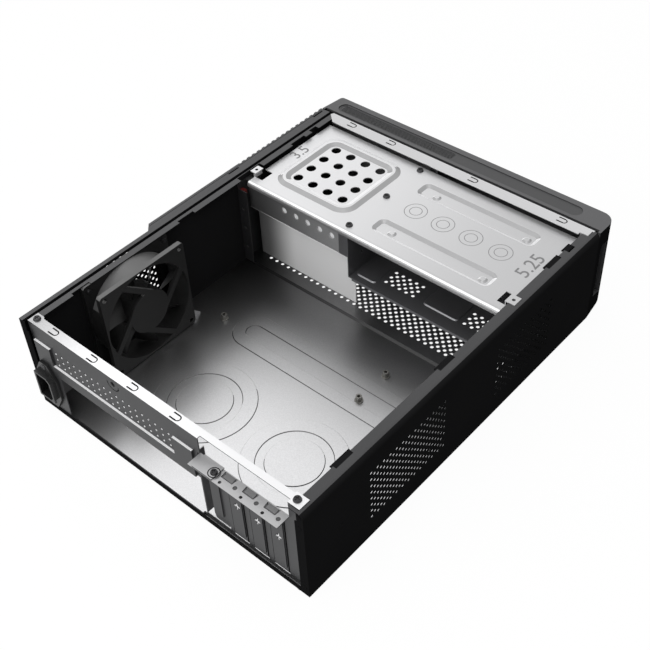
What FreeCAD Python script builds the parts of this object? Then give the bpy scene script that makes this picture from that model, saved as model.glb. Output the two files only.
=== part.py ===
"""Slim micro ATX computer case, cover removed, lying on its closed side.

Lengths are millimetres. Every piece is drawn from one datum, the rear corner on the fan side:
x runs across the case to the vented wall, y runs forward from the rear face, and z runs up.
to_part_frame turns the finished pieces so that the front faces -Y, with the origin at the
bottom centre of the whole case.
"""
import FreeCAD
import Part
import math
import os

V = FreeCAD.Vector

# Overall sizes
CASE_WIDTH = 300.0
WALL_HEIGHT = 95.6
SHELL_DEPTH = 368.0
BEZEL_DEPTH = 26.0
SHEET = 0.8

# Vented wall, its rounded top bend and the flange that the cover slides under
VENT_BEND = 5.0
VENT_FLANGE = 12.0
FLANGE_SLOT_LENGTH = 18.0
FLANGE_SLOT_DEPTH = 3.0
REAR_SLOT_START = 44.5
MIDDLE_SLOT_START = 161.5
FRONT_SLOT_SETBACK = 62.5
LATCH_SETBACK = 35.5
LATCH_LENGTH = 9.0
LATCH_DEPTH = 4.5
VENT_PITCH = 7.2
VENT_HOLE = 3.4
VENT_ROWS = 8
VENT_BOTTOM = 21.5
REAR_VENT_START = 70.6
REAR_VENT_COLUMNS = 13
FRONT_VENT_SETBACK = 141.5
FRONT_VENT_COLUMNS = 11

# Fan-side wall: outer skin with a hem, groove, and inner frame with its own flange
HEM_WIDTH = 4.0
HEM_DROP = 3.0
INNER_WALL = 7.3
INNER_FLANGE = 6.2
EAR_CUT_LENGTH = 29.0

# Rear returns of the shell, which cover the edges of the rear panel
RETURN_BOTTOM = 4.6
RETURN_FAN_SIDE = 8.5
RETURN_VENT_SIDE = 8.0
RETURN_STEP = 2.0
RETURN_STEP_DROP = 10.6

# Rear panel
PANEL_RAISE = 1.9
PANEL_FLANGE = 8.8
PANEL_RETURN = 11.0
RAISED_LEFT = 11.5
RAISED_LEDGE_DROP = 35.6
RAISED_TOP_DROP = 17.1
EAR_WIDTH_LOW = 19.0
EAR_WIDTH_HIGH = 20.5
IO_WIDTH = 158.8
IO_BOTTOM = 4.6
IO_HEIGHT = 44.4
IO_TO_SLOTS = 160.0
PANEL_VENT_PITCH = 7.16
PANEL_VENT_COLUMNS = 19
PANEL_VENT_ROWS = 3
PANEL_VENT_ROW_PITCH = 6.4
PANEL_VENT_HOLE = 2.6
END_SCREW_LEFT = 13.0
END_SCREW_RIGHT = 11.5
END_SCREW_BACK = 8.2
END_SCREW_RADIUS = 2.0
LANCE_LENGTH = 9.0
LANCE_WIDTH = 6.0
LANCE_SLIT = 1.0
REAR_LANCE_START = 35.5
REAR_LANCE_PITCH = 45.8
FRONT_LANCES = (36.5, 83.5, 175.5, 266.5)
LOCK_TAB_X = 107.5
LOCK_TAB_DROP = 5.6
LOCK_TAB_RADIUS = 7.0

# Expansion slots
SLOT_PITCH = 20.32
SLOT_EDGE = 89.0
SLOT_COUNT = 4
SLOT_BLANK = 15.0
SLOT_BOTTOM = 8.0
SLOT_MARGIN = 15.5
SHELF_SETBACK = 3.0
SHELF_DEPTH = 12.2
SHELF_DROP = 15.6
SHELF_SCREW = 8.3
SHELF_SCREW_RADIUS = 1.75
SHELF_SMALL_RADIUS = 1.3
TONGUE_WIDTH = 8.6
COVER_WIDTH = 17.6
COVER_RIB = 1.2
SLOT_WALL_DEPTH = 6.3
KNOCKOUT_RISE = 38.5
KNOCKOUT_HEIGHT = 7.0
KNOCKOUT_WIDTH = 5.6

# Power inlet
INLET_X = 18.5
INLET_Z = 33.0
INLET_WIDTH = 20.0
INLET_HEIGHT = 28.0
INLET_STAND = 7.0
INLET_FLANGE_WIDTH = 26.0
INLET_SCREW_PITCH = 40.0
INLET_SCREW_MARGIN = 4.5
INLET_SCREW_HOLE = 1.7
INLET_DEPTH = 17.0
INLET_CLEARANCE = 0.5

# Floor
FLOOR_RISE = 1.4
STEP_SETBACK = 7.0
STEP_RUN = 2.5
EMBOSS = 0.6
RING_LEFT = 108.5
RING_RIGHT_EDGE = 90.0
RING_Y = 83.0
RING_RADII = (45.0, 32.2, 24.0)
STADIUM_TIP = 63.5
STADIUM_Y = 169.5
STADIUM_WIDTH = 40.0
STADIUM_INNER_WIDTH = 16.5
STRIP_START = 27.0
STRIP_END_MARGIN = 16.0
STRIP_SETBACK = 8.5
STRIP_PITCH = 7.33
STRIP_ROWS = 7
STRIP_HOLE = 2.9
BOARD_COLUMN = 157.48
BOARD_SIDE_COLUMN = 45.72
BOARD_ROW = 154.94
BOARD_SHORT_ROW = 35.56
BOARD_TO_SLOT = 3.52
BOARD_BACK = 10.2
STANDOFF_HEIGHT = 5.4
STANDOFF_RADIUS = 2.9
STANDOFF_BORE = 1.4

# Fan
FAN_SIZE = 92.0
FAN_DEPTH = 25.0
FAN_Y = 100.0
FAN_RISE = 1.0
FAN_HOLE_PITCH = 82.5
FAN_HOLE_RADIUS = 2.15
FAN_CORNER = 3.0
FAN_RIM = 1.5
FAN_FLANGE = 4.5
HUB_RADIUS = 20.5
HUB_WALL = 2.0
TIP_CLEARANCE = 1.2
BLADE_COUNT = 7
BLADE_THICKNESS = 1.6
SHAFT_RADIUS = 1.5
SHAFT_CLEARANCE = 0.05
STRUT_WIDTH = 5.0
STRUT_DEPTH = 2.6
STRUT_ANGLE = 50.0

# Drive bays
PLATE_DROP = 4.6
PLATE_GAP = 0.7
PLATE_SIDE_GAP = 2.0
PLATE_LENGTH = 113.8
PLATE_SETBACK = 11.2
LIP_RADIUS = 3.0
LIP_DROP = 4.5
NARROW_BAY = 116.3
EAR_SETBACK = 10.0
EAR_WIDTH = 9.0
EAR_LENGTH = 14.0
EAR_TAB = 10.0
EAR_REACH = 6.5
RIDGE_INSET = (19.3, 19.5, 21.5, 16.8)
RIDGE_WIDTH = 11.0
RIDGE_CREST = 2.0
RIDGE_HEIGHT = 2.0
RIDGE_CORNER = 16.0
DRIVE_HOLE_INSET = (31.8, 33.5)
DRIVE_HOLE_PITCH = 17.4
DRIVE_HOLE_RADIUS = 4.5
CHANNEL_INSET = (11.0, 23.5)
CHANNEL_SETBACKS = (26.7, 89.5)
CHANNEL_WIDTH = 18.5
CHANNEL_DEPTH = 2.0
CHANNEL_SLOPE = 3.5
PLATE_SCREW_INSET = 4.7
PLATE_SCREW_SETBACKS = (10.0, 60.5, 108.5)
PLATE_SCREW_RADIUS = 1.8
TRAY_RISE = 39.0
TRAY_INSET = 1.0
TRAY_LIP = 3.0
DIVIDER_FLANGE = 9.5
TRAY_VENT_SETBACK = 15.5
TRAY_VENT_INSETS = (30.5, 41.5)
TRAY_VENT_COLUMNS = (5, 4)
TRAY_VENT_ROWS = 5
TRAY_PAD_HEIGHT = 1.0
BAY_SCREW_RADIUS = 1.8
RAIL_DEPTH = 26.5
RAIL_HOLE_INSET = 73.0
RAIL_HOLE_PITCH = 13.9
RAIL_HOLE_COUNT = 5
RAIL_HOLE_RADIUS = 3.1
RAIL_HOLE_DROP = 11.0
RAIL_SETBACK = 10.8
PARTITION_SETBACK = 10.5
COLUMN_SETBACK = 7.0
COLUMN_LEG = 11.0
COLUMN_HOLE_PITCH = 22.0

# Front frame and bezel
FRONT_FLANGE = 11.5
BAY_OPENING_MARGIN = 3.0
BEZEL_WALL = 2.4
BEZEL_GAP = 3.0
BEZEL_CORNER = 12.0
BEZEL_SIDE_CORNER = 3.5
BEZEL_OVERHANG = 5.0
BEZEL_LEAN = 2.5
BEZEL_CHAMFER_RUN = 21.0
BEZEL_CHAMFER_RISE = 10.0
GRILLE_LEFT = 6.0
GRILLE_LENGTH = 137.5
GRILLE_MARGIN = 6.0
RECESS_RIGHT_EDGE = 26.0
RECESS_DEPTH = 0.8
HAND_SLOT_SETBACK = 5.5
HAND_SLOT_LENGTH = 9.0
HAND_SLOT_BOTTOM = 22.0
HAND_SLOT_TOP_DROP = 16.6
HAND_SLOT_DEPTH = 5.0
COVER_GAP = 0.4
LOUVRE_COUNT = 5
LOUVRE_BOTTOM = 17.0
LOUVRE_PITCH = 5.0
LOUVRE_HEIGHT = 2.4
POWER_X = 44.0
BUTTON_DROP = 29.6
POWER_RADIUS = 9.0
POWER_TRAVEL = 1.5
RESET_X = 70.0
RESET_RADIUS = 3.0
BUTTON_GAP = 0.35
BUTTON_PROUD = 1.8
BUTTON_STEM = 5.0
BUTTON_COLLAR = 1.6
BUTTON_FLANGE = 1.5
BUTTON_SEAT = 0.3
SWITCH_GAP = 0.3
BOARD_THICKNESS = 1.6
LED_XS = (84.0, 92.0)
LED_RADIUS = 1.5
USB_XS = (34.0, 52.0)
USB_SIZE = (13.2, 5.8)
JACK_XS = (70.0, 83.0)
JACK_RADIUS = 3.2
PORT_Z = 36.0
PORT_BLOCK_MARGIN = 12.0
PORT_BLOCK_HEIGHT = 16.0
PORT_BLOCK_DEPTH = 12.0

# Ribbed cover on the outside of the fan-side wall
GUARD_DEPTH = 7.0
GUARD_LENGTH = 231.0
GUARD_WALL = 1.6
GUARD_BOTTOM = 6.0
GUARD_TOOTH_SETBACK = 118.0
GUARD_TOOTH_PITCH = 6.6
GUARD_TOOTH_COUNT = 17
GUARD_TOOTH_WIDTH = 3.3
GUARD_TOOTH_DEPTH = 1.0
GUARD_NOTCH_LENGTH = 13.0
GUARD_NOTCH_SETBACKS = (100.0, 215.0)

# Fasteners
SCREW_HEAD_RADIUS = 3.3
SCREW_HEAD_HEIGHT = 1.6
FAN_SCREW_HEAD_RADIUS = 3.4
FAN_SCREW_LENGTH = 8.0
RIVET_RADIUS = 2.0
RIVET_HEIGHT = 0.5
RIVET_REAR = 37.0
RIVET_SETBACK = 39.5
RIVET_Z = 47.0

# Heights and depths that follow from those above
FLOOR = 2 * SHEET
RAISED_FLOOR = FLOOR + FLOOR_RISE
WALL_TOP = WALL_HEIGHT
UNDER_FLANGE = WALL_TOP - SHEET
PANEL_TOP = WALL_TOP + SHEET
PANEL_FACE = SHEET
PANEL_BASE = PANEL_FACE + PANEL_RAISE
PANEL_INSIDE = PANEL_BASE + SHEET
RAISED_LEDGE = WALL_TOP - RAISED_LEDGE_DROP
RAISED_TOP = WALL_TOP - RAISED_TOP_DROP
SHELF_TOP = WALL_TOP - SHELF_DROP
SHELF_EDGE = PANEL_BASE - SHELF_DEPTH
SHELF_SCREW_Y = SHELF_EDGE + SHELF_DEPTH / 2
BUTTON_Z = WALL_TOP - BUTTON_DROP
BEZEL_FRONT = SHELL_DEPTH + BEZEL_DEPTH
BEZEL_BACK = SHELL_DEPTH + BEZEL_GAP
SWITCH_FACE = BEZEL_FRONT - BEZEL_WALL - BUTTON_STEM - POWER_TRAVEL - SWITCH_GAP

# Widths that follow
FRAME_INSIDE = INNER_WALL + SHEET
FRAME_EDGE = INNER_WALL + INNER_FLANGE
VENT_INSIDE = CASE_WIDTH - SHEET
FLANGE_EDGE = CASE_WIDTH - VENT_FLANGE
BEND_START = CASE_WIDTH - VENT_BEND
SLOT_FIRST = CASE_WIDTH - SLOT_EDGE
SLOT_LEFT = SLOT_FIRST - SLOT_MARGIN
SHELF_LEFT = SLOT_LEFT + SHELF_SETBACK
SHELF_RIGHT = CASE_WIDTH - SLOT_MARGIN
IO_LEFT = SLOT_LEFT - IO_TO_SLOTS
RAISED_RIGHT = IO_LEFT + IO_WIDTH - SHELF_SETBACK
EAR_LOW = RAISED_LEFT + EAR_WIDTH_LOW
EAR_HIGH = RAISED_RIGHT - EAR_WIDTH_HIGH
STADIUM_END = FLANGE_EDGE
BOARD_MIDDLE = SLOT_FIRST - BOARD_TO_SLOT
RING_RIGHT = CASE_WIDTH - RING_RIGHT_EDGE
FAN_INNER = FRAME_INSIDE + FAN_DEPTH
FAN_Z = FLOOR + FAN_RISE + FAN_SIZE / 2
FAN_DUCT_RADIUS = FAN_SIZE / 2 - FAN_RIM

# Drive bays that follow
PLATE_Z = WALL_TOP - PLATE_DROP
PLATE_UNDER = PLATE_Z - SHEET
PLATE_LEFT = FRAME_EDGE + PLATE_GAP
PLATE_RIGHT = FLANGE_EDGE - PLATE_SIDE_GAP
PLATE_FRONT = SHELL_DEPTH - PLATE_SETBACK
PLATE_BACK = PLATE_FRONT - PLATE_LENGTH
LIP_INSIDE = PLATE_BACK + SHEET
LIP_FLAT_TOP = PLATE_Z - LIP_RADIUS
EAR_BACK = PLATE_BACK + EAR_SETBACK
DIVIDER_X = PLATE_LEFT + NARROW_BAY
TRAY_Z = RAISED_FLOOR + TRAY_RISE
TRAY_RIGHT = PLATE_RIGHT - TRAY_INSET
PLATE_SCREW_X = DIVIDER_X - PLATE_SCREW_INSET
RAIL_BOTTOM = PLATE_UNDER - RAIL_DEPTH
PARTITION_Y = PLATE_BACK + PARTITION_SETBACK
COLUMN_BACK = PLATE_BACK - COLUMN_SETBACK
STEP_Y = PLATE_BACK - STEP_SETBACK
STRIP_Y = PLATE_BACK + STRIP_SETBACK
STRIP_COLUMNS = int((CASE_WIDTH - STRIP_START - STRIP_END_MARGIN) / STRIP_PITCH) + 1

# Front that follows
GRILLE_BACK = BEZEL_BACK + 3.5
GRILLE_FRONT = BEZEL_FRONT - GRILLE_MARGIN
HAND_SLOT_BACK = SHELL_DEPTH + HAND_SLOT_SETBACK
HAND_SLOT_TOP = WALL_TOP - HAND_SLOT_TOP_DROP
BAY_X0 = DIVIDER_X + BAY_OPENING_MARGIN
BAY_X1 = TRAY_RIGHT - BAY_OPENING_MARGIN
BAY_Z0 = TRAY_Z + BAY_OPENING_MARGIN
BAY_Z1 = LIP_FLAT_TOP + SHEET

GUARD_START = SHELL_DEPTH - GUARD_LENGTH
CENTRE_X = (CASE_WIDTH + RIVET_HEIGHT - GUARD_DEPTH) / 2
CENTRE_Y = (BEZEL_FRONT + BUTTON_PROUD + SHELF_EDGE) / 2


def block(x0, x1, y0, y1, z0, z1):
    """Box between two corners."""
    return Part.makeBox(x1 - x0, y1 - y0, z1 - z0, V(x0, y0, z0))


def rod(x, y, z, axis, radius, length):
    """Cylinder that starts at a point and runs along an axis."""
    return Part.makeCylinder(radius, length, V(x, y, z), V(*axis))


def slab(points, axis, start, end):
    """Polygon drawn across an axis and pushed from start to end along it."""
    corners = []
    for a, b in points:
        place = {"x": (start, a, b), "y": (a, start, b), "z": (a, b, start)}[axis]
        corners.append(V(*place))
    face = Part.Face(Part.makePolygon(corners + corners[:1]))
    run = {"x": V(1, 0, 0), "y": V(0, 1, 0), "z": V(0, 0, 1)}[axis]
    return face.extrude(run * (end - start))


def fuse(shapes):
    """One solid from several that touch."""
    return shapes[0].multiFuse(shapes[1:]).removeSplitter()


def drill(shape, cutters):
    """Shape less every cutter."""
    return shape.cut(Part.makeCompound(cutters))


def rounded_outline(x0, x1, y0, y1, radius, z):
    """Closed outline of a rectangle with round corners."""
    r = min(radius, (x1 - x0) / 2, (y1 - y0) / 2) * 0.999
    d = r * (1 - math.sqrt(0.5))
    corners = [
        (V(x1 - r, y0, z), V(x1 - d, y0 + d, z), V(x1, y0 + r, z)),
        (V(x1, y1 - r, z), V(x1 - d, y1 - d, z), V(x1 - r, y1, z)),
        (V(x0 + r, y1, z), V(x0 + d, y1 - d, z), V(x0, y1 - r, z)),
        (V(x0, y0 + r, z), V(x0 + d, y0 + d, z), V(x0 + r, y0, z)),
    ]
    edges = []
    last = corners[-1][2]
    for first, middle, end in corners:
        edges.append(Part.LineSegment(last, first).toShape())
        edges.append(Part.Arc(first, middle, end).toShape())
        last = end
    return Part.Wire(edges)


def rounded_block(x0, x1, y0, y1, radius, z0, z1):
    """Box with round corners in plan."""
    face = Part.Face(rounded_outline(x0, x1, y0, y1, radius, z0))
    return face.extrude(V(0, 0, z1 - z0))


def drafted_pad(x0, x1, y0, y1, radius, z0, z1, draft):
    """Pad with round corners that narrows by draft on every side between z0 and z1."""
    r = radius
    up = V(0, 0, 1 if z1 > z0 else -1)
    lengthways = [(y0, z0), (y1, z0), (y1 - draft, z1), (y0 + draft, z1)]
    crossways = [(x0, z0), (x1, z0), (x1 - draft, z1), (x0 + draft, z1)]
    parts = [slab(lengthways, "x", x0 + r, x1 - r)]
    if y1 - y0 > 2 * r + 0.01:
        parts.append(slab(crossways, "y", y0 + r, y1 - r))
    for x in (x0 + r, x1 - r):
        for y in sorted({y0 + r, y1 - r}):
            parts.append(Part.makeCone(r, r - draft, abs(z1 - z0), V(x, y, z0), up))
    return fuse(parts)


def hexagon(x, y, z, axis, radius, length):
    """Six-sided bar that starts at a point and runs along an axis."""
    points = [V(radius * math.cos(math.radians(60 * n)), radius * math.sin(math.radians(60 * n)), 0)
              for n in range(6)]
    bar = Part.Face(Part.makePolygon(points + points[:1])).extrude(V(0, 0, length))
    bar.Placement = FreeCAD.Placement(V(x, y, z), FreeCAD.Rotation(V(0, 0, 1), V(*axis)))
    return bar


def slot_row(start, pitch, count, width, back, front, z0, z1):
    """Row of equal slots, side by side along x."""
    slots = []
    for index in range(count):
        x = start + index * pitch
        slots.append(block(x - width / 2, x + width / 2, back, front, z0, z1))
    return slots


def lance(x, y, z0, z1):
    """U-shaped slit round a pressed tongue, open towards low x."""
    outer = stadium_end(x, y, LANCE_LENGTH, LANCE_WIDTH, z0, z1)
    inner = stadium_end(x, y, LANCE_LENGTH - LANCE_SLIT, LANCE_WIDTH - 2 * LANCE_SLIT, z0, z1)
    return outer.cut(inner)


def stadium_end(x, y, length, width, z0, z1):
    """Straight block with one round end at high x."""
    r = width / 2
    middle = x + length - r
    points = [V(x, y - r, z0), V(middle, y - r, z0), V(middle + r, y, z0)]
    points += [V(middle, y + r, z0), V(x, y + r, z0)]
    edges = [
        Part.LineSegment(points[0], points[1]).toShape(),
        Part.Arc(points[1], points[2], points[3]).toShape(),
        Part.LineSegment(points[3], points[4]).toShape(),
        Part.LineSegment(points[4], points[0]).toShape(),
    ]
    return Part.Face(Part.Wire(edges)).extrude(V(0, 0, z1 - z0))


def flange_slots():
    """Start, end and depth of each notch along the inner edge of both side flanges."""
    front = SHELL_DEPTH - FRONT_SLOT_SETBACK
    latch = SHELL_DEPTH - LATCH_SETBACK
    starts = (REAR_SLOT_START, MIDDLE_SLOT_START, front)
    slots = [(y, y + FLANGE_SLOT_LENGTH, FLANGE_SLOT_DEPTH) for y in starts]
    return slots + [(latch, latch + LATCH_LENGTH, LATCH_DEPTH)]


def bent_wall():
    """Vented wall, round bend and flange as one bent sheet."""
    top = WALL_TOP
    edges = []
    for offset in (0.0, SHEET):
        radius = VENT_BEND - offset
        turn = radius * (1 - math.sqrt(0.5))
        side = CASE_WIDTH - offset
        high = top - offset
        points = [
            V(side, 0, 0),
            V(side, 0, high - radius),
            V(side - turn, 0, high - turn),
            V(side - radius, 0, high),
            V(FLANGE_EDGE, 0, high),
        ]
        edges.append(Part.LineSegment(points[0], points[1]).toShape())
        edges.append(Part.Arc(points[1], points[2], points[3]).toShape())
        edges.append(Part.LineSegment(points[3], points[4]).toShape())
    edges.append(Part.LineSegment(V(CASE_WIDTH, 0, 0), V(VENT_INSIDE, 0, 0)).toShape())
    edges.append(Part.LineSegment(V(FLANGE_EDGE, 0, top), V(FLANGE_EDGE, 0, top - SHEET)).toShape())
    section = Part.Wire(Part.__sortEdges__(edges))
    return Part.Face(section).extrude(V(0, SHELL_DEPTH, 0))


def base_shell():
    """Black outer shell: bottom, vented wall, fan-side skin with hem, and rear returns."""
    step = WALL_TOP - RETURN_STEP_DROP
    left_return = [
        (0, 0),
        (RETURN_FAN_SIDE, 0),
        (RETURN_FAN_SIDE, step),
        (RETURN_FAN_SIDE - RETURN_STEP, step),
        (RETURN_FAN_SIDE - RETURN_STEP, UNDER_FLANGE),
        (0, UNDER_FLANGE),
    ]
    edge = CASE_WIDTH - RETURN_VENT_SIDE
    right_return = [
        (VENT_INSIDE, 0),
        (edge, 0),
        (edge, step),
        (edge + RETURN_STEP, step),
        (edge + RETURN_STEP, UNDER_FLANGE),
        (BEND_START, UNDER_FLANGE),
        (VENT_INSIDE, WALL_TOP - VENT_BEND),
    ]
    shell = fuse([
        block(0, CASE_WIDTH, 0, SHELL_DEPTH, 0, SHEET),
        bent_wall(),
        block(0, SHEET, 0, SHELL_DEPTH, 0, WALL_TOP),
        block(0, HEM_WIDTH, 0, SHELL_DEPTH, UNDER_FLANGE, WALL_TOP),
        block(HEM_WIDTH - SHEET, HEM_WIDTH, SHEET, SHELL_DEPTH, WALL_TOP - HEM_DROP, WALL_TOP),
        block(0, CASE_WIDTH, 0, SHEET, 0, RETURN_BOTTOM),
        slab(left_return, "y", 0, SHEET),
        slab(right_return, "y", 0, SHEET),
    ])
    return drill(shell, shell_openings())


def shell_openings():
    """Flange slots, vent fields, windows under the bays and the fan outlet."""
    cutters = []
    low = WALL_TOP - 2 * SHEET
    high = WALL_TOP + SHEET
    for y0, y1, depth in flange_slots():
        cutters.append(block(FLANGE_EDGE - 1, FLANGE_EDGE + depth, y0, y1, low, high))
    field_top = VENT_BOTTOM + (VENT_ROWS - 1) * VENT_PITCH + VENT_HOLE / 2
    front_start = SHELL_DEPTH - FRONT_VENT_SETBACK
    fields = ((REAR_VENT_START, REAR_VENT_COLUMNS), (front_start, FRONT_VENT_COLUMNS))
    for start, columns in fields:
        for column in range(columns):
            y = start + column * VENT_PITCH
            cutters.append(block(VENT_INSIDE - 1, CASE_WIDTH + 1, y - VENT_HOLE / 2,
                                 y + VENT_HOLE / 2, VENT_BOTTOM - VENT_HOLE / 2, field_top))
    slots = int(2 * FAN_DUCT_RADIUS / VENT_PITCH) - 1
    for index in range(slots):
        drop = (index - (slots - 1) / 2) * VENT_PITCH
        reach = math.sqrt((FAN_DUCT_RADIUS - 3) ** 2 - drop ** 2)
        z = FAN_Z + drop
        cutters.append(block(-1, SHEET + 1, FAN_Y - reach, FAN_Y + reach,
                             z - VENT_HOLE / 2, z + VENT_HOLE / 2))
    cutters.append(block(*strip_window(), -1, SHEET + 1))
    cutters.append(block(*bay_window(), -1, SHEET + 1))
    cutters.append(slab(inlet_outline(INLET_CLEARANCE), "y", -1, SHEET))
    return cutters


def strip_window():
    """Window in the shell that leaves the vented strip of the floor open."""
    margin = STRIP_PITCH / 2
    right = STRIP_START + (STRIP_COLUMNS - 1) * STRIP_PITCH + margin
    front = STRIP_Y + (STRIP_ROWS - 1) * STRIP_PITCH / 2 + margin
    return STRIP_START - margin, right, STRIP_Y - margin, front


def bay_window():
    """Window through the shell and the floor under the wide drive bay."""
    return DIVIDER_X - 5.5, FLANGE_EDGE - 26.0, PLATE_BACK + 42.0, SHELL_DEPTH - 44.0


def fan_side_frame():
    """Inner wall on the fan side, with the flange that forms the cover's groove."""
    wall = block(INNER_WALL, FRAME_INSIDE, PANEL_BASE, SHELL_DEPTH, SHEET, WALL_TOP)
    flange = block(INNER_WALL, FRAME_EDGE, PANEL_BASE, SHELL_DEPTH, UNDER_FLANGE, WALL_TOP)
    frame = fuse([wall, flange])
    low = WALL_TOP - 2 * SHEET
    high = WALL_TOP + SHEET
    cutters = [rod(INNER_WALL - 1, FAN_Y, FAN_Z, (1, 0, 0), FAN_DUCT_RADIUS, SHEET + 2)]
    for dy in (-FAN_HOLE_PITCH / 2, FAN_HOLE_PITCH / 2):
        for dz in (-FAN_HOLE_PITCH / 2, FAN_HOLE_PITCH / 2):
            cutters.append(rod(INNER_WALL - 1, FAN_Y + dy, FAN_Z + dz, (1, 0, 0),
                               FAN_HOLE_RADIUS + 0.05, SHEET + 2))
    for y0, y1, depth in flange_slots():
        cutters.append(block(FRAME_EDGE - depth, FRAME_EDGE + 1, y0, y1, low, high))
    cut_start = EAR_BACK - (EAR_CUT_LENGTH - EAR_TAB) / 2 - 6.5
    cutters.append(block(FRAME_INSIDE, FRAME_EDGE + 1, cut_start, cut_start + EAR_CUT_LENGTH,
                         low, high))
    return drill(frame, cutters)


def floor_pan():
    """Zinc floor sheet with pressed rings, a long pressed track, a step and a vented strip."""
    profile = [
        (SHEET, SHEET),
        (STEP_Y, SHEET),
        (STEP_Y + STEP_RUN, SHEET + FLOOR_RISE),
        (SHELL_DEPTH, SHEET + FLOOR_RISE),
        (SHELL_DEPTH, RAISED_FLOOR),
        (STEP_Y + STEP_RUN, RAISED_FLOOR),
        (STEP_Y, FLOOR),
        (SHEET, FLOOR),
    ]
    sheet = slab(profile, "x", FRAME_INSIDE, VENT_INSIDE)
    pads = []
    grooves = []
    outer, middle, inner = RING_RADII
    for x, y in ((RING_LEFT, RING_Y), (RING_RIGHT, RING_Y)):
        pads.append(Part.makeCone(outer, outer - EMBOSS, EMBOSS, V(x, y, FLOOR)))
        ring = Part.makeCone(middle - EMBOSS, middle, EMBOSS, V(x, y, FLOOR))
        grooves.append(ring.cut(Part.makeCone(inner + EMBOSS, inner, EMBOSS, V(x, y, FLOOR))))
    half = STADIUM_WIDTH / 2
    pads.append(drafted_pad(STADIUM_TIP, STADIUM_END, STADIUM_Y - half, STADIUM_Y + half,
                            half, FLOOR, FLOOR + EMBOSS, EMBOSS))
    inner_half = STADIUM_INNER_WIDTH / 2
    inset = half - inner_half
    pan = fuse([sheet] + pads)
    track = drafted_pad(STADIUM_TIP + inset, STADIUM_END - inset, STADIUM_Y - inner_half,
                        STADIUM_Y + inner_half, inner_half, FLOOR + EMBOSS, FLOOR, EMBOSS)
    grooves.append(track)
    half = STRIP_HOLE / 2
    front = STRIP_Y + (STRIP_ROWS - 1) * STRIP_PITCH / 2 + half
    holes = slot_row(STRIP_START, STRIP_PITCH, STRIP_COLUMNS, STRIP_HOLE, STRIP_Y - half, front,
                     SHEET, RAISED_FLOOR + 1)
    holes.append(block(*bay_window(), SHEET, RAISED_FLOOR + 1))
    return drill(pan, grooves + holes)


def standoff_places():
    """Board screw places on the floor."""
    middle = BOARD_MIDDLE
    left = middle - BOARD_COLUMN
    right = middle + BOARD_SIDE_COLUMN
    second = BOARD_BACK + BOARD_ROW
    return [
        (left, second),
        (middle, second),
        (right, second),
        (middle, second + BOARD_SHORT_ROW),
        (middle, BOARD_BACK),
        (right, BOARD_BACK),
    ]


def standoffs():
    """Threaded posts that carry the board."""
    posts = []
    for x, y in standoff_places():
        post = hexagon(x, y, FLOOR, (0, 0, 1), STANDOFF_RADIUS, STANDOFF_HEIGHT)
        posts.append(post.cut(rod(x, y, FLOOR, (0, 0, 1), STANDOFF_BORE, STANDOFF_HEIGHT)))
    return Part.makeCompound(posts)


def raised_outline(inset):
    """Outline of the pressed zone of the rear panel, x and z."""
    return [
        (RAISED_LEFT + inset, FLOOR),
        (RAISED_RIGHT - inset, FLOOR),
        (RAISED_RIGHT - inset, RAISED_TOP - inset),
        (EAR_HIGH + inset, RAISED_TOP - inset),
        (EAR_HIGH + inset, RAISED_LEDGE - inset),
        (EAR_LOW - inset, RAISED_LEDGE - inset),
        (EAR_LOW - inset, RAISED_TOP - inset),
        (RAISED_LEFT + inset, RAISED_TOP - inset),
    ]


def slot_x(index):
    """Centre of an expansion slot."""
    return SLOT_FIRST + index * SLOT_PITCH


def rear_panel():
    """Rear panel with pressed zone, board cut-out, vents, screw shelf and slot blanks."""
    outline = [
        (FRAME_INSIDE, FLOOR),
        (VENT_INSIDE, FLOOR),
        (VENT_INSIDE, WALL_TOP - VENT_BEND),
        (BEND_START, WALL_TOP - VENT_BEND),
        (BEND_START, UNDER_FLANGE),
        (FLANGE_EDGE, UNDER_FLANGE),
        (FLANGE_EDGE, PANEL_TOP),
        (FRAME_EDGE, PANEL_TOP),
        (FRAME_EDGE, UNDER_FLANGE),
        (FRAME_INSIDE, UNDER_FLANGE),
    ]
    face = slab(outline, "y", PANEL_BASE, PANEL_INSIDE)
    raised = slab(raised_outline(0.0), "y", PANEL_FACE, PANEL_INSIDE)
    hollow = slab(raised_outline(SHEET), "y", PANEL_FACE + SHEET, PANEL_INSIDE)
    side_left = block(FRAME_INSIDE, FRAME_INSIDE + SHEET, PANEL_BASE, PANEL_INSIDE + PANEL_RETURN,
                      INLET_Z + INLET_HEIGHT / 2 + 4, UNDER_FLANGE)
    side_right = block(VENT_INSIDE - SHEET, VENT_INSIDE, PANEL_BASE, PANEL_INSIDE + PANEL_RETURN,
                       FLOOR, WALL_TOP - VENT_BEND)
    panel = fuse([face.fuse(raised).cut(hollow), side_left, side_right])
    panel = drill(panel, panel_openings())
    return fuse([panel, top_flange(), shelf(), slot_wall()] + slot_blanks())


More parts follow.
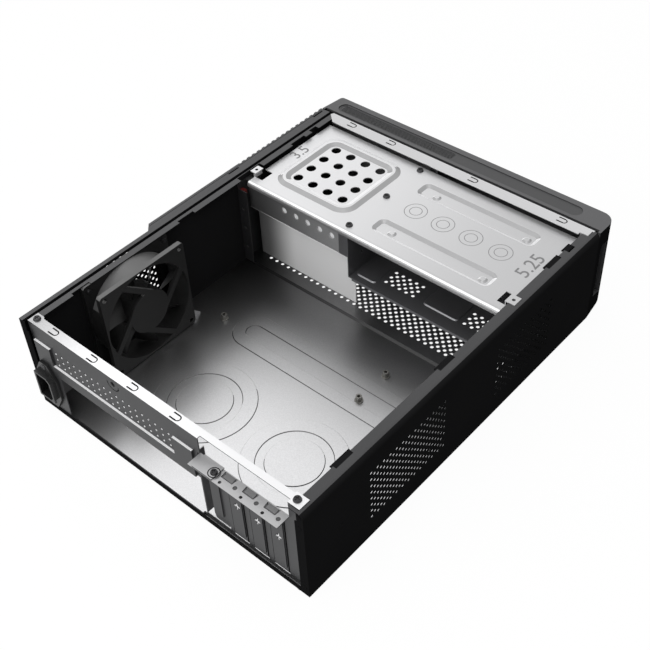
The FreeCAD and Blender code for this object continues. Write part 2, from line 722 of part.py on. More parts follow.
def top_flange():
    """Inward flange along the top of the rear panel, screwed down on both side flanges."""
    back = PANEL_BASE
    front = back + PANEL_FLANGE
    ear = front + SCREW_HEAD_RADIUS / 2
    start = INNER_WALL + PLATE_GAP
    outline = [
        (start, back),
        (SHELF_LEFT, back),
        (SHELF_LEFT, back + SHELF_SETBACK),
        (SHELF_RIGHT, back + SHELF_SETBACK),
        (SHELF_RIGHT, back),
        (BEND_START, back),
        (BEND_START, ear),
        (SHELF_RIGHT - 1.0, ear),
        (SHELF_RIGHT - 1.0, front),
        (FRAME_EDGE + 4.0, front),
        (FRAME_EDGE + 2.0, ear),
        (start, ear),
    ]
    flange = slab(outline, "z", WALL_TOP, PANEL_TOP)
    cutters = []
    for x in (END_SCREW_LEFT, CASE_WIDTH - END_SCREW_RIGHT):
        cutters.append(rod(x, END_SCREW_BACK, WALL_TOP - 1, (0, 0, 1), END_SCREW_RADIUS, 3))
    count = int((SHELF_LEFT - REAR_LANCE_START) / REAR_LANCE_PITCH) + 1
    for index in range(count):
        x = REAR_LANCE_START + index * REAR_LANCE_PITCH - LANCE_LENGTH / 2
        cutters.append(lance(x, back + PANEL_FLANGE / 2, WALL_TOP - 1, PANEL_TOP + 1))
    return drill(flange, cutters)


def panel_openings():
    """Board cut-out, vent holes, slot openings, window above the shelf and the lock tab."""
    y0 = PANEL_FACE - 1
    y1 = PANEL_INSIDE + 1
    cutters = [
        block(IO_LEFT, IO_LEFT + IO_WIDTH, y0, y1, IO_BOTTOM, IO_BOTTOM + IO_HEIGHT),
        block(SHELF_LEFT, SHELF_RIGHT, y0, y1, SHELF_TOP, PANEL_TOP + 1),
        block(SLOT_LEFT, slot_x(0) + COVER_WIDTH / 2, y0, y1, SLOT_BOTTOM, SHELF_TOP - SHEET),
        block(INLET_X - INLET_WIDTH / 2, INLET_X + INLET_WIDTH / 2, y0, y1,
              INLET_Z - INLET_HEIGHT / 2, INLET_Z + INLET_HEIGHT / 2),
    ]
    half = PANEL_VENT_HOLE / 2
    run = (PANEL_VENT_COLUMNS - 1) * PANEL_VENT_PITCH
    start = (EAR_LOW + EAR_HIGH - run) / 2
    for column in range(PANEL_VENT_COLUMNS):
        for row in range(PANEL_VENT_ROWS):
            x = start + column * PANEL_VENT_PITCH
            z = RAISED_LEDGE + 4.0 + row * PANEL_VENT_ROW_PITCH
            cutters.append(block(x - half, x + half, y0, y1, z - half, z + half))
    for index in range(1, SLOT_COUNT):
        x = slot_x(index)
        cutters.append(block(x - SLOT_BLANK / 2, x + SLOT_BLANK / 2, y0, y1,
                             SLOT_BOTTOM - 1.4, SHELF_TOP - SHEET))
    z = WALL_TOP - LOCK_TAB_DROP
    r = LOCK_TAB_RADIUS
    outer = rod(LOCK_TAB_X, y0, z, (0, 1, 0), r, y1 - y0)
    inner = rod(LOCK_TAB_X, y0, z, (0, 1, 0), r - 1.2, y1 - y0)
    upper = block(LOCK_TAB_X - r, LOCK_TAB_X + r, y0, y1, z, z + r)
    cutters.append(outer.cut(inner).cut(upper))
    cutters.append(rod(LOCK_TAB_X, y0, z, (0, 1, 0), r / 3, y1 - y0))
    for dz in (-INLET_SCREW_PITCH / 2, INLET_SCREW_PITCH / 2):
        cutters.append(rod(INLET_X, y0, INLET_Z + dz, (0, 1, 0), INLET_SCREW_HOLE + 0.2, y1 - y0))
    return cutters


def shelf():
    """Outward shelf that the slot covers are screwed to, with three pressed tongues."""
    plate = block(SHELF_LEFT, SHELF_RIGHT, SHELF_EDGE, PANEL_INSIDE, SHELF_TOP - SHEET, SHELF_TOP)
    cutters = []
    for index in range(SLOT_COUNT):
        x = slot_x(index) + SHELF_SCREW
        cutters.append(rod(x, SHELF_SCREW_Y, SHELF_TOP - 2, (0, 0, 1), SHELF_SCREW_RADIUS, 4))
    for index in range(1, SLOT_COUNT):
        x = slot_x(index)
        cutters.append(rod(x - 3.5, SHELF_EDGE + 3.0, SHELF_TOP - 2, (0, 0, 1),
                           SHELF_SMALL_RADIUS, 4))
        low = x - TONGUE_WIDTH / 2 - 1.0
        high = x + TONGUE_WIDTH / 2 + 1.0
        mouth = SHELF_EDGE + SHELF_DEPTH / 2 + 0.7
        window = [(low - 1.0, PANEL_INSIDE + 1), (low, mouth), (high, mouth),
                  (high + 1.0, PANEL_INSIDE + 1)]
        cutters.append(slab(window, "z", SHELF_TOP - 2, SHELF_TOP + 2).translated(V(-0.9, 0, 0)))
    tongues = []
    tip = SHELF_EDGE + SHELF_DEPTH / 2 + 1.9
    section = [(tip, SHELF_TOP - 1.4), (PANEL_BASE, SHELF_TOP - SHEET),
               (PANEL_INSIDE, SHELF_TOP - SHEET), (PANEL_INSIDE, SHELF_TOP),
               (tip, SHELF_TOP - 0.6)]
    for index in range(1, SLOT_COUNT):
        x = slot_x(index) - 0.9
        tongues.append(slab(section, "x", x - TONGUE_WIDTH / 2, x + TONGUE_WIDTH / 2))
    return fuse([drill(plate, cutters)] + tongues)


def slot_wall():
    """Turned edge between the board cut-out and the first slot."""
    return block(SLOT_LEFT - SHEET, SLOT_LEFT, PANEL_BASE, PANEL_INSIDE + SLOT_WALL_DEPTH,
                 SLOT_BOTTOM, SHELF_TOP - SHEET)


def slot_blanks():
    """Blank covers of the remaining slots, held at the top, each with a cross-shaped hole."""
    blanks = []
    for index in range(1, SLOT_COUNT):
        x = slot_x(index)
        half = SLOT_BLANK / 2 - 0.8
        sheet = block(x - half, x + half, PANEL_BASE - 0.5, PANEL_INSIDE - 0.5,
                      SLOT_BOTTOM + 0.8, SHELF_TOP - SHEET)
        rib = block(x + half - 2.2, x + half - 0.8, PANEL_BASE - 1.3, PANEL_BASE - 0.5,
                    SLOT_BOTTOM + 6, SHELF_TOP - SHEET)
        bridge = block(x + half, x + SLOT_BLANK / 2, PANEL_BASE, PANEL_INSIDE - 0.5,
                       RAISED_LEDGE, RAISED_LEDGE + 5)
        mid = SLOT_BOTTOM + KNOCKOUT_RISE
        upright = block(x - 0.8, x + 0.8, 0, PANEL_INSIDE, mid - KNOCKOUT_HEIGHT / 2,
                        mid + KNOCKOUT_HEIGHT / 2)
        across = block(x - KNOCKOUT_WIDTH / 2, x + KNOCKOUT_WIDTH / 2, 0, PANEL_INSIDE,
                       mid - 0.9, mid + 0.9)
        blanks.append(fuse([sheet, rib, bridge]).cut(upright.fuse(across)))
    return blanks


def slot_cover():
    """Loose cover of the first slot: ribbed strip with a screwed tab over the shelf."""
    x = slot_x(0)
    half = COVER_WIDTH / 2 - 0.3
    outline = [
        (x - half, SLOT_BOTTOM + 4),
        (x - half + 3, SLOT_BOTTOM - 3),
        (x + half - 3, SLOT_BOTTOM - 3),
        (x + half, SLOT_BOTTOM + 4),
        (x + half, SHELF_TOP + SHEET),
        (x - half, SHELF_TOP + SHEET),
    ]
    back = PANEL_INSIDE
    strip = slab(outline, "y", back, back + SHEET)
    rib = block(x + 1.5, x + 1.5 + COVER_RIB, back - COVER_RIB, back, SLOT_BOTTOM + 9,
                SHELF_TOP - 3)
    tab = block(x - half, x + half + 2.5, SHELF_EDGE + 0.3, back + SHEET, SHELF_TOP,
                SHELF_TOP + SHEET)
    cover = fuse([strip, rib, tab])
    hole = rod(x + SHELF_SCREW, SHELF_SCREW_Y, SHELF_TOP - 1, (0, 0, 1),
               SHELF_SCREW_RADIUS + 0.4, 4)
    return cover.cut(hole)


def inlet_outline(margin):
    """Eight-sided outline of the inlet's flange, grown by a margin, x and z."""
    w = INLET_FLANGE_WIDTH / 2 + margin
    h = INLET_SCREW_PITCH / 2 + INLET_SCREW_MARGIN + margin
    n = INLET_SCREW_MARGIN + margin
    s = INLET_HEIGHT / 2 - 4.0 + margin
    corners = [(-w, -s), (-n, -h), (n, -h), (w, -s), (w, s), (n, h), (-n, h), (-w, s)]
    return [(INLET_X + dx, INLET_Z + dz) for dx, dz in corners]


def power_inlet():
    """Three-pin power inlet: flange, body that stands out of the panel, socket and pins."""
    x = INLET_X
    z = INLET_Z
    front = PANEL_FACE - INLET_STAND
    w = INLET_WIDTH / 2 - 0.2
    h = INLET_HEIGHT / 2 - 0.2
    body_outline = [(x - w, z - h), (x + w - 4, z - h), (x + w, z - h + 4), (x + w, z + h - 4),
                    (x + w - 4, z + h), (x - w, z + h)]
    socket_outline = [(x - w + 2, z - h + 2), (x + w - 5, z - h + 2), (x + w - 2, z - h + 5),
                      (x + w - 2, z + h - 5), (x + w - 5, z + h - 2), (x - w + 2, z + h - 2)]
    body = slab(body_outline, "y", front, PANEL_INSIDE + 12)
    plate = slab(inlet_outline(0.0), "y", PANEL_FACE - 2.5, PANEL_FACE)
    socket = slab(socket_outline, "y", front - 1, front + INLET_DEPTH)
    inlet = fuse([body, plate]).cut(socket)
    holes = []
    for dz in (-INLET_SCREW_PITCH / 2, INLET_SCREW_PITCH / 2):
        holes.append(rod(x, PANEL_FACE - 4, z + dz, (0, 1, 0), INLET_SCREW_HOLE, 6))
    inlet = drill(inlet, holes)
    pins = []
    for dx, dz in ((3.0, 0.0), (-2.5, 7.0), (-2.5, -7.0)):
        pins.append(block(x + dx - 1, x + dx + 1, front + 5, front + INLET_DEPTH,
                          z + dz - 2, z + dz + 2))
    return fuse([inlet] + pins)


def fan_frame():
    """Square fan housing: two flanges, round duct between them, motor plate and struts."""
    x0 = FRAME_INSIDE
    x1 = FAN_INNER
    half = FAN_SIZE / 2
    outer = rounded_fan_plate(x0, x0 + FAN_FLANGE)
    inner = rounded_fan_plate(x1 - FAN_FLANGE, x1)
    tube = rod(x0, FAN_Y, FAN_Z, (1, 0, 0), half - 0.1, FAN_DEPTH)
    duct = rod(x0 - 1, FAN_Y, FAN_Z, (1, 0, 0), FAN_DUCT_RADIUS, FAN_DEPTH + 2)
    holes = [duct]
    for dy in (-FAN_HOLE_PITCH / 2, FAN_HOLE_PITCH / 2):
        for dz in (-FAN_HOLE_PITCH / 2, FAN_HOLE_PITCH / 2):
            holes.append(rod(x0 - 1, FAN_Y + dy, FAN_Z + dz, (1, 0, 0), FAN_HOLE_RADIUS,
                             FAN_DEPTH + 2))
    housing = drill(fuse([outer, inner, tube]), holes)
    motor = rod(x1 - STRUT_DEPTH, FAN_Y, FAN_Z, (1, 0, 0), HUB_RADIUS, STRUT_DEPTH)
    tower = rod(x0 + 8, FAN_Y, FAN_Z, (1, 0, 0), 4.0, FAN_DEPTH - 8 - STRUT_DEPTH)
    struts = []
    for index in range(4):
        side = FAN_Z - HUB_RADIUS + 1.0
        arm = block(x1 - STRUT_DEPTH, x1, FAN_Y, FAN_Y + FAN_DUCT_RADIUS, side, side + STRUT_WIDTH)
        arm.rotate(V(x1, FAN_Y, FAN_Z), V(1, 0, 0), STRUT_ANGLE + 90 * index)
        struts.append(arm)
    bore = rod(x0 + 7, FAN_Y, FAN_Z, (1, 0, 0), SHAFT_RADIUS + SHAFT_CLEARANCE,
               FAN_DEPTH - 7 - STRUT_DEPTH)
    return fuse([housing, motor, tower] + struts).cut(bore)


def rounded_fan_plate(x0, x1):
    """Square fan flange with round corners."""
    half = FAN_SIZE / 2
    plate = rounded_block(-half, half, -half, half, FAN_CORNER, 0, x1 - x0)
    plate.rotate(V(0, 0, 0), V(0, 1, 0), 90)
    plate.translate(V(x0, FAN_Y, FAN_Z))
    return plate


def fan_rotor():
    """Rotor: cup-shaped hub, curved blades set at an angle, and the shaft in its bearing."""
    x0 = FRAME_INSIDE + 2.5
    x1 = FAN_INNER - STRUT_DEPTH - 0.8
    cup = rod(x0, FAN_Y, FAN_Z, (1, 0, 0), HUB_RADIUS - 0.5, x1 - x0)
    hollow = rod(x0 + HUB_WALL, FAN_Y, FAN_Z, (1, 0, 0), HUB_RADIUS - 0.5 - HUB_WALL, x1 - x0)
    shaft = rod(x0, FAN_Y, FAN_Z, (1, 0, 0), SHAFT_RADIUS, x1 - x0 - 2)
    blades = []
    tip = FAN_DUCT_RADIUS - TIP_CLEARANCE
    sweep = []
    for share in (0.0, 0.5, 1.0):
        radius = HUB_RADIUS - 1.2 + share * (tip - HUB_RADIUS + 1.2)
        pitch = math.radians(50 - 18 * share)
        lead = math.radians(14 * share)
        sweep.append(blade_section(radius, pitch, lead, x0, x1))
    blade = Part.makeLoft(sweep, True, False)
    limit = rod(x0, 0, 0, (1, 0, 0), tip, x1 - x0)
    blade = blade.common(limit)
    for index in range(BLADE_COUNT):
        turned = blade.copy()
        turned.rotate(V(0, 0, 0), V(1, 0, 0), 360.0 * index / BLADE_COUNT)
        turned.translate(V(0, FAN_Y, FAN_Z))
        blades.append(turned)
    return fuse([cup.cut(hollow), shaft] + blades)


def blade_section(radius, pitch, lead, x0, x1):
    """Section of a blade at one radius, a thin slanted bar square to the radius."""
    middle = (x0 + x1) / 2
    chord = (x1 - x0 - 1.0) / 2 / math.sin(math.pi / 2 - pitch * 0.55)
    out = V(0, math.cos(lead), math.sin(lead))
    round_way = V(0, -math.sin(lead), math.cos(lead))
    along = V(1, 0, 0) * math.cos(pitch) + round_way * math.sin(pitch)
    across = V(1, 0, 0) * -math.sin(pitch) + round_way * math.cos(pitch)
    centre = V(middle, 0, 0) + out * radius
    length = min(chord, (x1 - x0 - 1.5) / 2 / math.cos(pitch))
    half = BLADE_THICKNESS / 2
    corners = [
        centre + along * length,
        centre + across * half,
        centre - along * length,
        centre - across * half,
    ]
    return Part.makePolygon(corners + corners[:1])


def drive_plate():
    """Top plate of the drive bay: rolled rear lip, pressed frame, holes, channels and ears."""
    sheet = block(PLATE_LEFT, PLATE_RIGHT, PLATE_BACK + LIP_RADIUS, PLATE_FRONT,
                  PLATE_UNDER, PLATE_Z)
    left_in, right_in, back_in, front_in = RIDGE_INSET
    left = PLATE_LEFT + left_in
    right = DIVIDER_X - right_in
    back = PLATE_BACK + back_in
    front = PLATE_FRONT - front_in
    wide = RIDGE_WIDTH / 2
    slope = (RIDGE_WIDTH - RIDGE_CREST) / 2
    ridge_out = drafted_pad(left - wide, right + wide, back - wide, front + wide, RIDGE_CORNER,
                            PLATE_Z, PLATE_Z + RIDGE_HEIGHT, slope)
    ridge_in = drafted_pad(left + wide - slope, right - wide + slope, back + wide - slope,
                           front - wide + slope, RIDGE_CORNER - slope,
                           PLATE_Z + RIDGE_HEIGHT, PLATE_Z, slope)
    parts = [sheet, plate_lip(), ridge_out.cut(ridge_in)]
    pockets = []
    x0 = DIVIDER_X + CHANNEL_INSET[0]
    x1 = PLATE_RIGHT - CHANNEL_INSET[1]
    half = CHANNEL_WIDTH / 2
    corner = CHANNEL_WIDTH / 3
    channel_ys = [PLATE_BACK + setback for setback in CHANNEL_SETBACKS]
    for y in channel_ys:
        parts.append(drafted_pad(x0, x1, y - half, y + half, corner, PLATE_UNDER,
                                 PLATE_UNDER - CHANNEL_DEPTH, CHANNEL_SLOPE))
        pockets.append(drafted_pad(x0, x1, y - half, y + half, corner, PLATE_Z,
                                   PLATE_Z - CHANNEL_DEPTH, CHANNEL_SLOPE))
    parts += plate_ears()
    plate = drill(fuse(parts), pockets + plate_cutters())
    bumps = []
    for y in channel_ys:
        for x in (x0 + CHANNEL_WIDTH, x1 - half):
            base = PLATE_Z - CHANNEL_DEPTH
            bumps.append(Part.makeCone(4.0, 2.2, 1.2, V(x, y - 1.5, base)))
    return fuse([plate] + bumps)


def plate_lip():
    """Rear edge of the plate, bent down round a small radius."""
    r = LIP_RADIUS
    top = PLATE_Z
    edges = []
    for offset in (0.0, SHEET):
        radius = r - offset
        turn = radius * (1 - math.sqrt(0.5))
        back = PLATE_BACK + offset
        high = top - offset
        points = [
            V(PLATE_LEFT, PLATE_BACK + r, high),
            V(PLATE_LEFT, back + turn, high - turn),
            V(PLATE_LEFT, back, high - radius),
            V(PLATE_LEFT, back, top - LIP_DROP),
        ]
        edges.append(Part.Arc(points[0], points[1], points[2]).toShape())
        edges.append(Part.LineSegment(points[2], points[3]).toShape())
    start = V(PLATE_LEFT, PLATE_BACK + r, top)
    edges.append(Part.LineSegment(start, start - V(0, 0, SHEET)).toShape())
    end = V(PLATE_LEFT, PLATE_BACK, top - LIP_DROP)
    edges.append(Part.LineSegment(end, end + V(0, SHEET, 0)).toShape())
    section = Part.Wire(Part.__sortEdges__(edges))
    return Part.Face(section).extrude(V(PLATE_RIGHT - PLATE_LEFT, 0, 0))


def plate_ears():
    """Ears bent up out of the plate's side edges to rest on the side flanges."""
    ears = []
    y0 = EAR_BACK - 1
    y1 = y0 + EAR_TAB
    left = PLATE_LEFT
    ears.append(block(left, left + SHEET, y0, y1, PLATE_UNDER, PANEL_TOP))
    ears.append(block(left - 4.0, left + 2.5, y0, y1, WALL_TOP, PANEL_TOP))
    right = PLATE_RIGHT
    ears.append(block(right - SHEET, right, y0, y1, PLATE_UNDER, PANEL_TOP))
    ears.append(block(right - 1.0, right + EAR_REACH + 1.5, y0, y1, WALL_TOP, PANEL_TOP))
    ears.append(block(left, left + EAR_WIDTH, y0, y0 + 1.2, PLATE_UNDER, PLATE_Z))
    ears.append(block(right - EAR_WIDTH, right, y0, y0 + 1.2, PLATE_UNDER, PLATE_Z))
    return ears


def plate_screw_ys():
    """Places of the plate's screws along the divider."""
    return [PLATE_BACK + setback for setback in PLATE_SCREW_SETBACKS]


def plate_cutters():
    """Drive vent holes, screw holes, and the notches beside the ears."""
    low = PLATE_UNDER - 4
    cutters = []
    for column in range(4):
        for row in range(4):
            x = PLATE_LEFT + DRIVE_HOLE_INSET[0] + column * DRIVE_HOLE_PITCH
            y = PLATE_BACK + DRIVE_HOLE_INSET[1] + row * DRIVE_HOLE_PITCH
            cutters.append(rod(x, y, low, (0, 0, 1), DRIVE_HOLE_RADIUS, 8))
    for y in plate_screw_ys():
        cutters.append(rod(PLATE_SCREW_X, y, low, (0, 0, 1), PLATE_SCREW_RADIUS, 8))
    y0 = EAR_BACK + 0.2
    y1 = EAR_BACK + EAR_LENGTH
    cutters.append(block(PLATE_LEFT + SHEET, PLATE_LEFT + EAR_WIDTH, y0, y1, low, PLATE_Z + 1))
    cutters.append(block(PLATE_LEFT - 1, PLATE_LEFT + EAR_WIDTH, y0 + EAR_TAB - 1.2, y1,
                         low, PLATE_Z + 1))
    cutters.append(block(PLATE_RIGHT - EAR_WIDTH, PLATE_RIGHT - SHEET, y0, y1, low, PLATE_Z + 1))
    cutters.append(block(PLATE_RIGHT - EAR_WIDTH, PLATE_RIGHT + 1, y0 + EAR_TAB - 1.2, y1,
                         low, PLATE_Z + 1))
    cutters.append(rod(PLATE_LEFT - 0.8, EAR_BACK + 4, WALL_TOP - 1, (0, 0, 1), 1.5, 3))
    cutters.append(rod(PLATE_RIGHT + 4.0, EAR_BACK + 4, WALL_TOP - 1, (0, 0, 1), 1.5, 3))
    return cutters


def optical_tray():
    """Bent tray for the wide drive: divider wall, floor with vents and pads, outer wall."""
    front = SHELL_DEPTH - SHEET
    divider = block(DIVIDER_X, DIVIDER_X + SHEET, LIP_INSIDE, front, TRAY_Z - SHEET, PLATE_UNDER)
    divider = divider.cut(block(DIVIDER_X - 1, DIVIDER_X + 2, LIP_INSIDE, PLATE_BACK + LIP_RADIUS,
                                LIP_FLAT_TOP, PLATE_Z))
    flange = block(DIVIDER_X - DIVIDER_FLANGE, DIVIDER_X, LIP_INSIDE, LIP_INSIDE + SHEET,
                   RAIL_BOTTOM, LIP_FLAT_TOP)
    base = block(DIVIDER_X, TRAY_RIGHT, LIP_INSIDE, front, TRAY_Z - SHEET, TRAY_Z)
    lip = block(DIVIDER_X + 4, TRAY_RIGHT, LIP_INSIDE, LIP_INSIDE + SHEET, TRAY_Z - TRAY_LIP,
                TRAY_Z)
    wall = block(TRAY_RIGHT - SHEET, TRAY_RIGHT, LIP_INSIDE, front, TRAY_Z, LIP_FLAT_TOP)
    foot = block(TRAY_RIGHT - SHEET, VENT_INSIDE, LIP_INSIDE, front, TRAY_Z - SHEET, TRAY_Z)
    pads = []
    for x0, x1, y0, y1 in tray_pads():
        pads.append(drafted_pad(x0, x1, y0, y1, 4.0, TRAY_Z, TRAY_Z + TRAY_PAD_HEIGHT, 1.0))
    tray = fuse([divider, flange, base, lip, wall, foot] + pads)
    holes = []
    half = STRIP_HOLE / 2
    vent_back = PLATE_BACK + TRAY_VENT_SETBACK
    vent_front = vent_back + (TRAY_VENT_ROWS - 1) * VENT_PITCH / 2 + half
    starts = (DIVIDER_X + TRAY_VENT_INSETS[0], PLATE_RIGHT - TRAY_VENT_INSETS[1])
    for start, columns in zip(starts, TRAY_VENT_COLUMNS):
        holes += slot_row(start, VENT_PITCH, columns, STRIP_HOLE, vent_back - half,
                          vent_front, TRAY_Z - 2, TRAY_Z + 2)
    middle = (TRAY_Z + PLATE_Z) / 2
    for y in (PARTITION_Y + 8.5, PARTITION_Y + 22.5):
        for z in (middle - 8, middle + 8):
            holes.append(rod(DIVIDER_X - 1, y, z, (1, 0, 0), BAY_SCREW_RADIUS, 3))
    return drill(tray, holes)


def tray_pads():
    """Corners of the two pressed pads on the tray, x and y."""
    return (
        (DIVIDER_X + 2.5, DIVIDER_X + 25.0, PLATE_BACK + 7.0, PLATE_BACK + 43.0),
        (DIVIDER_X + 71.5, PLATE_RIGHT - 47.0, PLATE_BACK + 13.0, PLATE_BACK + 40.0),
    )


def drive_rail(y, top):
    """Hanging side rail of the narrow drive bay, with a row of screw holes."""
    left = PLATE_LEFT + PLATE_GAP
    right = DIVIDER_X - DIVIDER_FLANGE
    web = block(left, right, y, y + SHEET, RAIL_BOTTOM, top)
    foot = block(left, right, y, y + 7, RAIL_BOTTOM, RAIL_BOTTOM + SHEET)
    holes = []
    for index in range(RAIL_HOLE_COUNT):
        x = DIVIDER_X - RAIL_HOLE_INSET + index * RAIL_HOLE_PITCH
        z = PLATE_UNDER - RAIL_HOLE_DROP
        holes.append(rod(x, y - 1, z, (0, 1, 0), RAIL_HOLE_RADIUS, 3))
    return drill(fuse([web, foot]), holes)


def bay_partition():
    """Plain upright sheet under the narrow drive bay, with feet at floor and drive level."""
    left = PLATE_LEFT
    right = DIVIDER_X
    web = block(left, right, PARTITION_Y, PARTITION_Y + SHEET, RAISED_FLOOR, RAIL_BOTTOM)
    foot = block(left, right, PARTITION_Y, PARTITION_Y + 2 * SHEET, RAISED_FLOOR,
                 RAISED_FLOOR + SHEET)
    side = block(left, left + SHEET, PARTITION_Y, PARTITION_Y + 20, RAISED_FLOOR, RAIL_BOTTOM)
    head = block(left, DIVIDER_X - DIVIDER_FLANGE, LIP_INSIDE, PARTITION_Y + SHEET,
                 RAIL_BOTTOM - SHEET, RAIL_BOTTOM)
    return fuse([web, foot, side, head])


def corner_column():
    """Dark angle bracket on the fan-side wall that carries the corner of the drive bay."""
    x0 = FRAME_INSIDE
    top = PLATE_UNDER
    y = COLUMN_BACK
    wall_leg = block(x0, x0 + SHEET, y, PARTITION_Y + 12, RAISED_FLOOR, top)
    cross_leg = block(x0, x0 + COLUMN_LEG, y, y + SHEET, RAISED_FLOOR, top - 5)
    seat = block(x0, x0 + COLUMN_LEG, PLATE_BACK + LIP_RADIUS, PARTITION_Y - 1, top - SHEET, top)
    holes = []
    for index in range(3):
        z = RAISED_FLOOR + (index + 0.8) * COLUMN_HOLE_PITCH
        holes.append(rod(x0 + COLUMN_LEG / 2, y - 1, z, (0, 1, 0), BAY_SCREW_RADIUS, 3))
    return drill(fuse([wall_leg, cross_leg, seat]), holes)


def cable_clip():
    """Small clip on the fan-side wall beside the drive bay."""
    x0 = FRAME_INSIDE + SHEET
    z = PLATE_Z - 12.0
    y = COLUMN_BACK + SHEET
    body = block(x0, x0 + 5.5, y, y + 5.0, z, z + 4.5)
    return body.cut(rod(x0 + 3.0, y - 1, z + 2.6, (0, 1, 0), 1.3, 7))


def front_frame():
    """Steel front of the chassis: top flange with pressed tongues, and the drive opening."""
    wall = block(FRAME_INSIDE, VENT_INSIDE, SHELL_DEPTH - SHEET, SHELL_DEPTH, RAISED_FLOOR,
                 WALL_TOP - VENT_BEND)
    upper = block(FRAME_EDGE, FLANGE_EDGE, SHELL_DEPTH - SHEET, SHELL_DEPTH,
                  WALL_TOP - VENT_BEND, PANEL_TOP)
    y0 = SHELL_DEPTH - FRONT_FLANGE
    left = FRAME_EDGE - 4.0
    outline = [
        (left, SHELL_DEPTH), (left - 1.5, SHELL_DEPTH - 3), (left + 4, SHELL_DEPTH - 8),
        (left + 8, y0), (FLANGE_EDGE - 2, y0), (FLANGE_EDGE - 2, y0 + 2.5),
        (BEND_START - 1.5, y0 + 2.5), (BEND_START - 1.5, SHELL_DEPTH - 2),
        (BEND_START, SHELL_DEPTH - 2), (BEND_START, SHELL_DEPTH),
    ]
    flange = slab(outline, "z", WALL_TOP, PANEL_TOP)
    cutters = [block(BAY_X0, BAY_X1, SHELL_DEPTH - 3, SHELL_DEPTH + 3, BAY_Z0, BAY_Z1)]
    cutters.append(block(PLATE_LEFT + 6, DIVIDER_X - 18.5, SHELL_DEPTH - 3, SHELL_DEPTH + 3,
                         RAISED_FLOOR + 13, BUTTON_Z + 14))
    for x in FRONT_LANCES:
        cutters.append(lance(x - LANCE_LENGTH / 2, SHELL_DEPTH - FRONT_FLANGE / 2 + 1,
                             WALL_TOP - 1, PANEL_TOP + 1))
    return drill(fuse([wall, upper, flange]), cutters)


def bezel_outline(inset, z):
    """Plan outline of the bezel at a height, open corners rounded at the front."""
    left = -BEZEL_OVERHANG + inset
    right = CASE_WIDTH - inset
    front = BEZEL_FRONT - inset
    back = SHELL_DEPTH
    big = BEZEL_CORNER - inset
    small = max(BEZEL_SIDE_CORNER - inset, 0.6)
    lean = BEZEL_LEAN
    turn = 1 - math.sqrt(0.5)
    points = [
        V(left, back, z), V(left + lean, front - small, z),
        V(left + lean + small * turn, front - small * turn, z),
        V(left + lean + small, front, z), V(right - big, front, z),
        V(right - big * turn, front - big * turn, z), V(right, front - big, z),
        V(right, back, z),
    ]
    edges = [
        Part.LineSegment(points[0], points[1]).toShape(),
        Part.Arc(points[1], points[2], points[3]).toShape(),
        Part.LineSegment(points[3], points[4]).toShape(),
        Part.Arc(points[4], points[5], points[6]).toShape(),
        Part.LineSegment(points[6], points[7]).toShape(),
        Part.LineSegment(points[7], points[0]).toShape(),
    ]
    return Part.Wire(edges)


def bezel_solid(inset):
    """Outer or inner form of the bezel, with the sloping lower front edge."""
    body = Part.Face(bezel_outline(inset, inset)).extrude(V(0, 0, PANEL_TOP - 2 * inset))
    slope = inset * 1.2
    wedge = [
        (SHELL_DEPTH, -5.0),
        (SHELL_DEPTH, slope),
        (SHELL_DEPTH + BEZEL_CHAMFER_RUN - slope / 2, BEZEL_CHAMFER_RISE + slope / 2),
        (BEZEL_FRONT + 5, BEZEL_CHAMFER_RISE + 5 + slope / 2),
        (BEZEL_FRONT + 5, -5.0),
    ]
    return body.cut(slab(wedge, "x", -BEZEL_OVERHANG - 5, CASE_WIDTH + 5))


